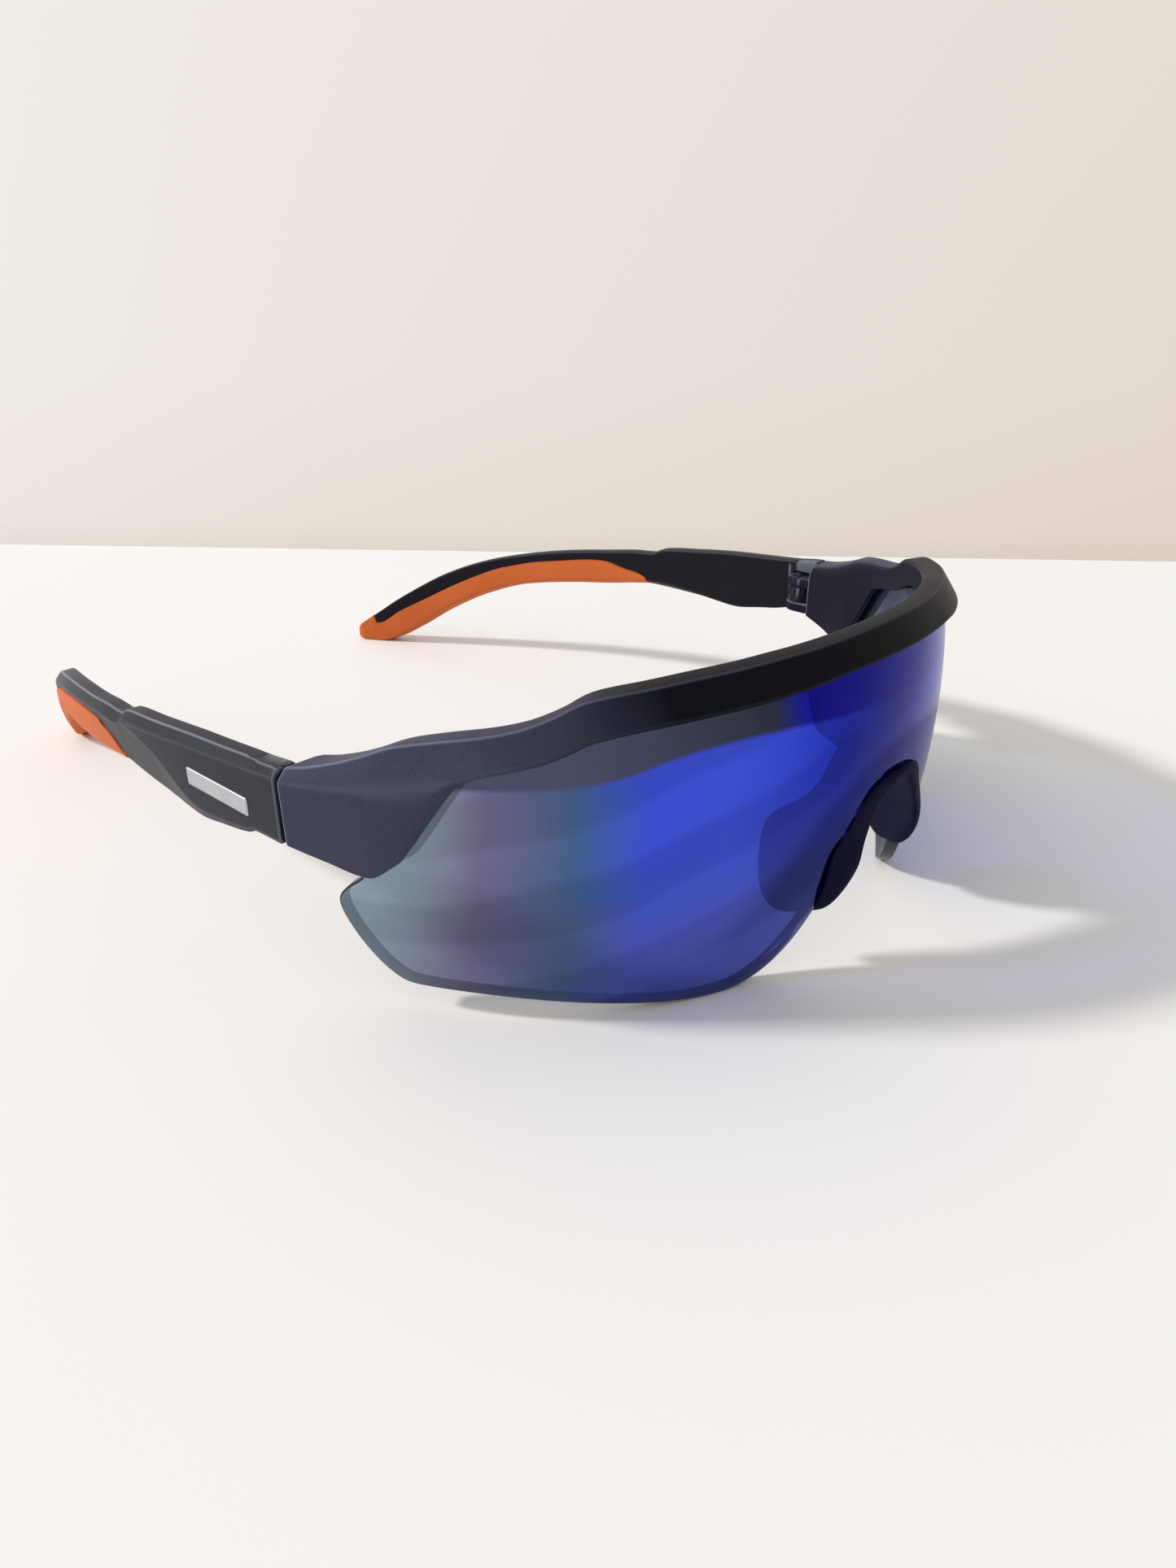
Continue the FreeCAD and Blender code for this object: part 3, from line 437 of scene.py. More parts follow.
def frame_ears():
    """The two leaves at the left end: the upper one holds the screw's head, the lower one the insert."""
    towards_front = -math.pi / 2
    low, high = UPPER_EAR
    upper = leaf(EAR_RADIUS, EAR_ROOT, towards_front, [
        (-SHANK_BORE, low), (0.2, low), (0.0, low + 0.2), (0.0, high - 0.25), (0.25, high),
        (-HEAD_SEAT - 0.15, high), (-HEAD_SEAT, high - 0.15), (-HEAD_SEAT, high - HEAD_DEPTH),
        (-SHANK_BORE, high - HEAD_DEPTH)])
    low, high = LOWER_EAR
    lower = leaf(EAR_RADIUS, EAR_ROOT, towards_front, [
        (0.25, low), (0.0, low + 0.25), (0.0, high - 0.2), (0.2, high), (-INSERT_BORE - 0.12, high),
        (-INSERT_BORE, high - 0.12), (-INSERT_BORE, low + 0.4)])
    return [turned(upper), lofted(lower)]


def make_front_frame(material):
    angles = np.r_[0:52:0.8, 52:63:0.25, 63:70.7:0.5]
    ends = [(0.45, 0.0), (0.26, 0.04), (0.12, 0.13), (0.03, 0.27), (0.0, 0.42)]
    half = [(angle, 0.0) for angle in angles] + [(SEAM_ANGLE - back / 1.19, shrink) for back, shrink in ends]
    stations = [(-angle, shrink) for angle, shrink in reversed(half[1:])] + half
    piece = piece_from("frame_front", *lofted([frame_section(angle, shrink) for angle, shrink in stations]))
    ears = []
    for points, faces in frame_ears():
        ears += [piece_from("ear", points, faces), piece_from("ear", mirrored(points), faces)]
    unite(piece, ears)
    finish_piece(piece, material, "front", ["front_frame"])


# Nodes


class Nodes:
    """Short ways to add, set and join nodes."""

    def __init__(self, tree):
        self.tree = tree

    def put(self, kind, inputs=(), **settings):
        node = self.tree.nodes.new(kind)
        for key, value in settings.items():
            setattr(node, key, value)
        for key, value in dict(inputs).items():
            self.feed(node.inputs[key], value)
        return node

    def feed(self, socket, value):
        if isinstance(value, bpy.types.NodeSocket):
            self.tree.links.new(value, socket)
        elif socket.type == "RGBA":
            socket.default_value = (*value, 1.0)
        else:
            socket.default_value = value

    def maths(self, operation, *values):
        node = self.put("ShaderNodeMath", operation=operation)
        for socket, value in zip(node.inputs, values):
            self.feed(socket, value)
        return node.outputs[0]

    def add(self, first, second):
        return self.maths("ADD", first, second)

    def minus(self, first, second):
        return self.maths("SUBTRACT", first, second)

    def times(self, first, second):
        return self.maths("MULTIPLY", first, second)

    def split(self, vector):
        return self.put("ShaderNodeSeparateXYZ", {"Vector": vector}).outputs

    def scaled(self, vector, factor):
        return self.put("ShaderNodeVectorMath", {0: vector, "Scale": factor}, operation="SCALE").outputs[0]

    def towards(self, vector, way):
        inputs = {0: vector, 1: tuple(way)}
        return self.put("ShaderNodeVectorMath", inputs, operation="DOT_PRODUCT").outputs[1]

    def spread(self, value, low, high, to_low=0.0, to_high=1.0, **settings):
        inputs = {"Value": value, "From Min": low, "From Max": high, "To Min": to_low, "To Max": to_high}
        return self.put("ShaderNodeMapRange", inputs, **settings).outputs[0]


class Tree(Nodes):
    """A geometry tree with named inputs for its sizes."""

    def __init__(self, name, sizes):
        super().__init__(bpy.data.node_groups.new(name, "GeometryNodeTree"))
        face = self.tree.interface
        for way in ("INPUT", "OUTPUT"):
            face.new_socket("Geometry", in_out=way, socket_type="NodeSocketGeometry")
        for label, value in sizes.items():
            face.new_socket(label, in_out="INPUT", socket_type="NodeSocketFloat").default_value = value
        self.given = self.put("NodeGroupInput")
        self.sizes = sizes

    def __getitem__(self, label):
        return self.given.outputs[label]

    def position(self):
        return self.split(self.put("GeometryNodeInputPosition").outputs[0])

    def end(self, geometry, x, y, z, material=None):
        """Move the points to their new places and close the tree."""
        place = self.put("ShaderNodeCombineXYZ", {"X": x, "Y": y, "Z": z}).outputs[0]
        moved = self.put("GeometryNodeSetPosition", {"Geometry": geometry, "Position": place}).outputs[0]
        last = self.put("GeometryNodeRealizeInstances", {"Geometry": moved}).outputs[0]
        if material is not None:
            last = self.put("GeometryNodeSetMaterial", {"Geometry": last, "Material": material}).outputs[0]
        self.feed(self.put("NodeGroupOutput").inputs[0], last)

    def run(self, piece):
        """Apply the tree to a piece, with its sizes set by the sockets' identifiers."""
        change = piece.modifiers.new(self.tree.name, "NODES")
        change.node_group = self.tree
        for item in self.tree.interface.items_tree:
            if item.in_out == "INPUT" and item.name in self.sizes:
                change[item.identifier] = float(self.sizes[item.name])
        settle(piece)


# Shield lens


def lens_outline():
    """The closed outline of the lens, unrolled: distance round the barrel at its belt, and height."""
    def unrolled_x(x, z):
        return BARREL_RADIUS * np.arcsin(np.clip(x / barrel(z, 0.0), -1, 1))

    def unrolled_y(y, z):
        return BARREL_RADIUS * np.arccos((BARREL_Y - y) / barrel(z, 0.0))

    top, rear, foot = (np.array(points, float) for points in (LENS_TOP, LENS_REAR, LENS_FOOT))
    top, foot = (np.c_[unrolled_x(*line.T), line[:, 1]] for line in (top, foot))
    rear = np.c_[unrolled_y(*rear.T), rear[:, 1]]
    half = np.vstack([smooth_chain(top, 0.7)[:-1], smooth_chain(np.vstack([rear, foot[:1]]), 0.7)[:-1],
                      smooth_chain(foot, 0.7)])
    return np.vstack([half, (half * (-1, 1))[-2:0:-1]])


def inset_outline(outline, distance):
    """The outline moved inwards."""
    ahead, back = np.roll(outline, -1, axis=0), np.roll(outline, 1, axis=0)
    way = ahead - back
    normal = np.c_[way[:, 1], -way[:, 0]] / lengths(way)[:, None]
    area = 0.5 * np.sum(outline[:, 0] * ahead[:, 1] - ahead[:, 0] * outline[:, 1])
    return outline - normal * distance * (1 if area > 0 else -1)


def inside(points, outline):
    """Which points lie within a closed outline."""
    result = np.zeros(len(points), bool)
    for (ax, ay), (bx, by) in zip(outline, np.roll(outline, -1, axis=0)):
        if ay == by:
            continue
        crossing = (points[:, 1] > ay) != (points[:, 1] > by)
        result ^= crossing & (points[:, 0] < (bx - ax) * (points[:, 1] - ay) / (by - ay) + ax)
    return result


def make_lens(coat, back, edge):
    """One sheet, cut flat, then bent to the barrel by a geometry tree."""
    outline = lens_outline()
    rim = inset_outline(outline, LENS_EDGE)
    across = np.arange(-48, 49) * LENS_GRID
    grid = np.array([(x, z) for z in np.arange(0.5, 50, LENS_GRID) for x in across])
    keep = inside(grid, inset_outline(outline, LENS_RIM))
    flat = np.vstack([rim, grid[keep]])
    edges = [(k, (k + 1) % len(rim)) for k in range(len(rim))]
    _, _, faces, origin, _, _ = delaunay_2d_cdt([Vector(p) for p in flat], edges, [], 1, 1e-7)
    number = [source[0] for source in origin]
    sheet = [tuple(number[index] for index in face) for face in faces]

    count = len(flat)
    points = [upright(flat, 0.0), upright(flat, LENS_THICKNESS)]
    back_sheet = [tuple(count + index for index in reversed(face)) for face in sheet]
    rings = [(LENS_TURN, LENS_TURN), (0.0, LENS_EDGE), (0.0, LENS_THICKNESS - LENS_EDGE),
             (LENS_TURN, LENS_THICKNESS - LENS_TURN)]
    rows = [range(len(rim))]
    for inset, depth in rings:
        start = sum(len(block) for block in points)
        points.append(upright(inset_outline(outline, inset) if inset else outline, depth))
        rows.append(range(start, start + len(rim)))
    rows.append(range(count, count + len(rim)))
    order = np.concatenate(rows)
    rim_faces = [order[list(face)].tolist() for face in loft_faces(len(rows), len(rim))]

    mesh = bpy.data.meshes.new("lens_shield")
    mesh.from_pydata((np.vstack(points) * MM).tolist(), [], sheet + back_sheet + rim_faces)
    piece = added("lens_shield", mesh)
    for material in (coat, back, edge):
        mesh.materials.append(material)
    kinds = [0] * len(sheet) + [1] * len(sheet) + [2] * len(rim_faces)
    mesh.polygons.foreach_set("material_index", kinds)

    tree = Tree("bend_to_barrel", {"Barrel Radius": BARREL_RADIUS * MM, "Bulge Radius": BULGE * MM,
                                   "Belt Height": BELT * MM, "Axis Y": (BARREL_Y - MIDDLE_Y) * MM})
    run, depth, z = tree.position()
    rise = tree.minus(z, tree["Belt Height"])
    within = tree.minus(tree["Bulge Radius"], depth)
    square = tree.minus(tree.times(within, within), tree.times(rise, rise))
    offset = tree.minus(tree["Barrel Radius"], tree["Bulge Radius"])
    radius = tree.add(offset, tree.maths("SQRT", square))
    turn = tree.maths("DIVIDE", run, tree["Barrel Radius"])
    y = tree.minus(tree["Axis Y"], tree.times(radius, tree.maths("COSINE", turn)))
    tree.end(tree.given.outputs[0], tree.times(radius, tree.maths("SINE", turn)), y, z)
    tree.run(piece)
    clean(piece.data, 40.0, merge=1e-7)
    finish_piece(piece, None, "front", ["shield_lens"])


# Nose pad


def pad_section(lens_edge, lip, front, rear_inner, rear_outer, crown_height, brow_height):
    """A ring round the pad: front lip, nose side, wing and the groove over the lens edge."""
    lip, front, rear_inner, rear_outer = (np.array(p, float) for p in (lip, front, rear_inner, rear_outer))
    ex, ez = lens_edge
    middle_x = lip[0] - ex if abs(ex) > 0.01 else 0.0
    way = np.array((middle_x, 0.0, lip[2] - ez))
    way /= max(np.linalg.norm(way), 1e-6)
    bed_front = on_lens(lens_edge, 0.0, -PAD_PLAY) - way * 0.2
    bed_back = on_lens(lens_edge, LENS_THICKNESS, PAD_PLAY) - way * 0.2
    mouth_front = on_lens(lip, 0.0, LIP_PRESS)
    mouth_back = on_lens(bed_back + way * PAD_OVERLAP, LENS_THICKNESS, PAD_PLAY)
    crown = mouth_front + (0, -crown_height - 0.2, 0) - way * 0.1
    brow = 0.5 * (crown + front) + np.array((0, -brow_height, 0)) + way * 0.25
    nose_side = [front + (rear_inner - front) * share + way * bulge
                 for share, bulge in ((0.3, 0.25), (0.68, 0.2))]
    shoulder = mouth_back + (rear_outer - mouth_back) * 0.5 + way * 0.25
    return [bed_front, mouth_front, crown, brow, front, *nose_side, rear_inner, rear_outer, shoulder,
            mouth_back, bed_back]


def make_nose_pad(material):
    half = [pad_section(*station) for station in PAD_STATIONS]
    rings = np.array(half + [mirrored(ring) for ring in reversed(half[:-1])])
    piece = piece_from("pad_nose", *lofted(rings), crisp=180.0)
    smooth = piece.modifiers.new("smooth", "SUBSURF")
    smooth.levels = smooth.render_levels = 3
    settle(piece)
    clean(piece.data, 50.0)
    finish_piece(piece, material, "front", ["nose_pad"])


# Temples


def bend_x(y, inset):
    past = max(0.0, y - TEMPLE_Y - STRAIGHT)
    return HALF_WIDTH - BEND_RADIUS + math.sqrt((BEND_RADIUS - inset) ** 2 - past ** 2)


def temple_corners(run, proud, shrink):
    """Six corners of a temple's section and how much each is rounded."""
    y = TEMPLE_Y + run
    outer, inner = bend_x(y, -proud), bend_x(y, TEMPLE_THICKNESS + proud)
    past = max(0.0, run - (TEMPLE_LENGTH - TIP_REACH))
    round_end = TIP_RADIUS - math.sqrt(max(0.0, TIP_RADIUS ** 2 - past ** 2))
    outer, inner = outer - round_end * 0.95 - shrink, inner + round_end * 0.95 + shrink
    if y < HINGE_Y:
        inner = max(inner, HINGE_X + RELIEF_RADIUS + shrink)
    elif y < HINGE_Y + RELIEF_RADIUS:
        inner = max(inner, HINGE_X + math.sqrt(RELIEF_RADIUS ** 2 - (y - HINGE_Y) ** 2))
    top, foot, upper, lower, lean, rise = readings(
        run, TEMPLE_TOP, TEMPLE_FOOT, UPPER_BEVEL, LOWER_BEVEL, LOWER_LEAN, FOOT_RISE)
    top, foot = top - shrink, foot + shrink
    lean, crease = min(lean, (outer - inner) * 0.4), min(TEMPLE_BEVEL, (outer - inner) * 0.45)
    corners = [(inner, top), (outer - crease, top), (outer, top - upper), (outer, foot + lower),
               (outer - lean, foot), (inner, foot + rise)]
    return y, corners, [0.7, 0.32, 0.4, 0.4, 0.6, 0.7]


def cut_ring(ring, line, keep_above, split, rim):
    """Cut a rounded section by a straight line and round the two new corners. The section is taken in order
    from the split place, which is cut off first; points that are cut off close up on the cut."""
    ring = np.roll(ring, -split, axis=0)
    heights = (ring[:, 1] - line(ring[:, 0])) * (1 if keep_above else -1)
    kept = np.flatnonzero(heights > 1e-6)
    if len(kept) == 0:
        return None
    first, last, count = kept[0], kept[-1], len(ring)
    if len(kept) == count:
        spare = np.repeat(ring[:1], STEPS + 1, axis=0)
        return np.vstack([spare, ring, spare])

    def crossing(inside, outside):
        share = heights[inside] / (heights[inside] - heights[outside])
        return ring[inside] + (ring[outside] - ring[inside]) * share

    start, stop = crossing(first, first - 1), crossing(last, (last + 1) % count)
    path = np.vstack([start, ring[first:last + 1], stop])
    walked = walk(path[:, :2])
    chord = stop - start
    width = max(np.linalg.norm(chord[:2]), 1e-9)
    reach = min(rim, 0.45 * walked[-1], 0.45 * width)
    near, far = (np.array([np.interp(place, walked, path[:, axis]) for axis in range(3)])
                 for place in (reach, walked[-1] - reach))
    whole = np.empty_like(ring)
    whole[:first], whole[last + 1:] = near, far
    for k in range(first, last + 1):
        place = walked[k - first + 1]
        whole[k] = near if place < reach else far if place > walked[-1] - reach else ring[k]
    t = np.linspace(0, 1, STEPS + 1)[:, None]
    chord = chord / width * reach
    opening, closing = quadratic(t, start + chord, start, near), quadratic(t, far, stop, stop - chord)
    # on the temple the two new corners get no painted highlight; on the grip they mark the redder seam rim
    for turn in (opening, closing):
        turn[:, 2] = 0.0 if keep_above else 1.0 - np.abs(2 * t[:, 0] - 1.0)
    return np.vstack([opening, whole, closing])


def temple_rings(runs, proud, keep_above):
    """Rings along a temple, of what lies above or below the rubber's seam."""
    rings = []
    for run in runs:
        left = max(0.0, END_ROUND - run)
        shrink = END_ROUND - math.sqrt(END_ROUND ** 2 - left ** 2)
        y, corners, radii = temple_corners(run, proud, shrink)
        inner, outer = corners[0][0], corners[3][0]
        low, high = readings(run, SEAM_INNER, SEAM_OUTER)
        early = max(0.0, SEAM_INNER[0][0] - run) * 3.0
        gap = 0.0 if keep_above else GRIP_GAP

        def line(x):
            return low + (high - low) * (x - inner) / (outer - inner) - gap - early

        # painted highlight on the temple's upper edges and on its front end rim; the grip's rounded corners
        # get none
        edges = arc_highlight_weights([0.1, 0.9, 0.15, 0.2, 0.05, 0.05] if keep_above else [0.0] * 6)
        if keep_above and 0.02 < run < 0.25:
            edges = np.maximum(edges, 0.5)
        outline = np.c_[round_corners(corners, radii), edges]
        split = 4 * (STEPS + 1) + STEPS // 2 if keep_above else STEPS + 1
        ring = cut_ring(outline, line, keep_above, split, 0.14 if keep_above else 0.3)
        if ring is not None:
            ring[:, 1] = np.maximum(ring[:, 1], 0.0)
            rings.append(np.c_[upright(ring, y), ring[:, 2]])
    return rings


def knuckle_shell():
    """The temple's own hinge leaf, between the two ears."""
    low, high = KNUCKLE
    return turned(leaf(KNUCKLE_RADIUS, KNUCKLE_ROOT, 0.0, [
        (-SHANK_BORE, low), (0.2, low), (0.0, low + 0.2), (0.0, high - 0.2), (0.2, high),
        (-SHANK_BORE, high)]))


def relief_roof():
    """The temple's top over the hinge, where only the part below is cut back for the leaves."""
    rings = []
    for run in np.r_[0.1, 0.14, 0.22, 0.35, 0.6:6.7:0.3]:
        y, corners, _ = temple_corners(run, 0.0, 0.0)
        back = 0.2 - math.sqrt(max(0.0, 0.25 ** 2 - (0.35 - run) ** 2)) * 0.8 if run < 0.35 else 0.0
        inner, outer = bend_x(y, TEMPLE_THICKNESS) + back, corners[1][0] - 0.05
        top, foot = corners[0][1] - 0.01 - back, RELIEF_TOP
        outline = round_corners([(inner, top), (outer, top), (outer, foot), (inner, foot)],
                                [0.7, 0.0, 0.0, 0.25])
        rings.append(upright(outline, y))
    return lofted(rings)


def both_sides(name, points, faces, material, node, extra=()):
    for word, side in SIDES:
        def placed(some):
            return some if side > 0 else mirrored(some)

        piece = piece_from(f"{name}_{word}", placed(points), faces)
        unite(piece, [piece_from("leaf", placed(some), its) for some, its in extra])
        finish_piece(piece, material, f"{word}_temple", [f"{node}_{word}"])


def make_temples(material):
    runs = np.r_[0.0, 0.03, 0.1, 0.2, 0.32, 0.6:5.1:0.3, 5.2, 5.4, 5.55, 5.65, 5.72, 6.0, 6.5, 7.2:39.4:0.8,
                 39.4:62:0.2, 62:115.5:0.7, 115.5:117.4:0.08]
    points, faces = lofted(temple_rings(runs, 0.0, True))
    both_sides("temple_arm", points, faces, material, "temple", [knuckle_shell(), relief_roof()])


def make_grips(material):
    tip = TEMPLE_LENGTH - TIP_REACH + TIP_REACH * np.sin(np.linspace(0, math.pi / 2, 12))
    runs = np.r_[43.2:62:0.2, 62:115.5:0.7, 115.5:119.1:0.1, tip]
    points, faces = lofted(temple_rings(runs, GRIP_PROUD, False))
    both_sides("grip_rubber", points, faces, material, "temple_grip")


def make_inlays(material):
    """A plain bar let into each temple, swept along the temple's bend by a geometry tree."""
    for word, side in SIDES:
        name = f"inlay_bar_{word}"
        piece = added(name, bpy.data.meshes.new(name))
        tree = Tree("bar_along_bend", {
            "Bend Radius": (BEND_RADIUS + INLAY_PROUD) * MM, "Length": INLAY_LENGTH * MM,
            "Height": INLAY_HEIGHT * MM, "Thickness": (INLAY_DEPTH + INLAY_PROUD) * MM,
            "Start": INLAY_RUN * MM, "Straight": STRAIGHT * MM, "Centre X": (HALF_WIDTH - BEND_RADIUS) * MM,
            "Front Y": (TEMPLE_Y - MIDDLE_Y) * MM, "Height Above Table": INLAY_Z * MM, "Side": float(side)})
        shape = tree.put("ShaderNodeCombineXYZ", {"X": tree["Thickness"], "Y": tree["Length"],
                                                  "Z": tree["Height"]}).outputs[0]
        cube = tree.put("GeometryNodeMeshCube", {"Size": shape, "Vertices X": 2, "Vertices Y": 25,
                                                 "Vertices Z": 2}).outputs[0]
        x, y, z = tree.position()
        half = tree.times(tree["Length"], 0.5)
        reach = tree.add(tree.add(y, half), tree["Start"])
        within = tree.times(tree["Thickness"], 0.5)
        radius = tree.add(tree.minus(tree["Bend Radius"], within), x)
        past = tree.maths("MAXIMUM", tree.minus(reach, tree["Straight"]), 0.0)
        chord = tree.maths("SQRT", tree.minus(tree.times(radius, radius), tree.times(past, past)))
        out = tree.times(tree.add(tree["Centre X"], chord), tree["Side"])
        tree.end(cube, out, tree.add(tree["Front Y"], reach),
                 tree.add(tree["Height Above Table"], z), material)
        tree.run(piece)
        work = bmesh.new()
        work.from_mesh(piece.data)
        bmesh.ops.remove_doubles(work, verts=work.verts, dist=1e-7)
        sharp = [edge for edge in work.edges if edge.calc_face_angle(0.0) > 0.6]
        bmesh.ops.bevel(work, geom=sharp, offset=INLAY_CORNER * MM, segments=3, affect="EDGES", profile=0.5)
        work.to_mesh(piece.data)
        work.free()
        clean(piece.data, CRISP)
        finish_piece(piece, material, f"{word}_temple", [f"temple_inlay_{word}"])


# Materials


class Finish(Nodes):
    """A material with one main shader."""

    def __init__(self, name, **values):
        self.material = bpy.data.materials.new(name)
        self.material.use_nodes = True
        super().__init__(self.material.node_tree)
        self.tree.nodes.clear()
        self.main = self.put("ShaderNodeBsdfPrincipled")
        for key, value in values.items():
            self.main.inputs[key.replace("_", " ")].default_value = value
        self.out = self.put("ShaderNodeOutputMaterial", {0: self.main.outputs[0]})
        given = self.put("ShaderNodeTexCoord")
        self.place, self.facing = given.outputs["Object"], given.outputs["Normal"]

    def drive(self, label, value):
        self.feed(self.main.inputs[label], value)

    def noise(self, scale, detail=2.0, roughness=0.5, stretch=None):
        place = self.place
        if stretch is not None:
            place = self.put("ShaderNodeMapping", {"Vector": place, "Scale": stretch}).outputs[0]
        inputs = {"Vector": place, "Scale": scale, "Detail": detail, "Roughness": roughness}
        return self.put("ShaderNodeTexNoise", inputs).outputs["Fac"]

    def mixed(self, factor, first, second):
        node = self.put("ShaderNodeMix", data_type="RGBA")
        for socket, value in zip([s for s in node.inputs if s.enabled], (factor, first, second)):
            self.feed(socket, value)
        return next(s for s in node.outputs if s.enabled)

    def stops(self, value, colours):
        """A colour ramp from (place, colour) pairs."""
        node = self.put("ShaderNodeValToRGB", {"Fac": value})
        ramp = node.color_ramp
        while len(ramp.elements) < len(colours):
            ramp.elements.new(0.5)
        for element, (place, colour) in zip(ramp.elements, colours):
            element.position = place
            element.color = (*colour, 1.0)
        return node.outputs[0]

    def bump(self, height, strength, distance):
        inputs = {"Height": height, "Strength": strength, "Distance": distance}
        self.drive("Normal", self.put("ShaderNodeBump", inputs).outputs[0])


def painted(text):
    """A colour written as six hexadecimal digits, as the shader wants it."""
    parts = [int(text[k:k + 2], 16) / 255.0 for k in (0, 2, 4)]
    return tuple(c / 12.92 if c <= 0.04045 else ((c + 0.055) / 1.055) ** 2.4 for c in parts)


def moulded(name, colour, lighter, roughness, grain, strength, highlight_and_rim_colour=None, ends=None, inner=None, **values):
    """Matt moulded plastic or rubber: a fine grain, a cloudy change of tone and marked edges painted another
    tone, a painted highlight on the plastics and a redder seam rim on the rubber. Its ends may be painted
    lighter than its middle as painted light, and the faces towards the wearer darker as painted shade."""
    finish = Finish(name, **values)
    fine, cloud = finish.noise(grain, 3.0, 0.6), finish.noise(55.0, 2.0)
    tone = finish.add(finish.spread(fine, 0.35, 0.65, 0.0, 0.6), finish.spread(cloud, 0.3, 0.7, 0.0, 0.4))
    body = finish.mixed(tone, painted(colour), painted(lighter))
    x = finish.split(finish.place)[0]
    # painted light: towards the ends the colour turns to a lighter pair of tones, standing in for the sheen
    # on the lit ends of the front
    if ends is not None:
        aside = finish.spread(finish.maths("ABSOLUTE", x), *LIT_ENDS_FROM)
        body = finish.mixed(aside, body, finish.mixed(tone, painted(ends[0]), painted(ends[1])))
    # painted shade: faces turned towards the wearer are painted darker
    if inner is not None:
        inward_shade = finish.times(finish.split(finish.facing)[0], finish.times(finish.maths("SIGN", x), -1.0))
        body = finish.mixed(finish.spread(inward_shade, 0.15, 0.6), body, painted(inner))
    # painted highlight: marked edges of the plastics are painted lighter; the rubber's marked seam rim is
    # painted redder
    if highlight_and_rim_colour is not None:
        edge = finish.put("ShaderNodeAttribute", attribute_name="highlight_and_rim").outputs["Fac"]
        highlight_and_rim_mask = finish.times(edge, finish.spread(cloud, 0.3, 0.7, 0.7, 1.0))
        body = finish.mixed(highlight_and_rim_mask, body, painted(highlight_and_rim_colour))
    finish.drive("Base Color", body)
    uneven = finish.add(finish.spread(cloud, 0.3, 0.7, -0.04, 0.05),
                        finish.spread(fine, 0.3, 0.7, -0.03, 0.03))
    finish.drive("Roughness", finish.add(uneven, roughness))
    finish.bump(fine, strength, 0.00006)
    return finish.material


LIT_ENDS_FROM = (0.038, 0.056)      # metres from the middle over which the front's colour changes to its painted lighter ends, as painted light

# the mirror coat's colours, with painted shade and reflection: SLATE dulls the foot, and NIGHT, SMOKE and ASH
# paint a dark reflection under the bar
VIOLET, BLUE, BRIGHT = (0.02, 0.02, 0.30), (0.015, 0.03, 0.48), (0.05, 0.08, 0.65)
STEEL, MAUVE, PALE_BLUE = (0.06, 0.12, 0.26), (0.16, 0.14, 0.26), (0.25, 0.34, 0.42)
SLATE, NIGHT, SMOKE, ASH = (0.10, 0.13, 0.24), (0.01, 0.01, 0.30), (0.025, 0.03, 0.05), (0.07, 0.08, 0.14)
# where each is met, in millimetres from the middle: over most of the lens, and, as a painted dark reflection,
# above the height line that follows, near the bar
COAT = [(0, VIOLET), (14, BLUE), (30, BRIGHT), (40, BRIGHT), (47, STEEL), (54, MAUVE), (60, PALE_BLUE)]
DARK_REFLECTION = [(0, NIGHT), (20, NIGHT), (25, SMOKE), (48, ASH)]
SHADE_DULLING, SHADE_DULL_FADES = 0.5, (0.65, 0.9)       # painted shade: near the foot it is dulled with slate, less towards the ends
DARK_REFLECTION_LINE = [
    (0, 40.8), (14, 40.8), (21.5, 41.1), (30.3, 40.8), (37.2, 39.5), (42.8, 37.5), (48.4, 36.5),
    (56, 36.1)]
GRAZING_SHEEN_COLOUR = "645a9c"
LENS_SPAN, LENS_HEIGHT = 64.0, 50.0
REFLECTION_STRIPES, SHADE_ZONE = 420.0, (0.015, 0.040)
COAT_SHARE, SEEN_THROUGH = 0.58, 1.9


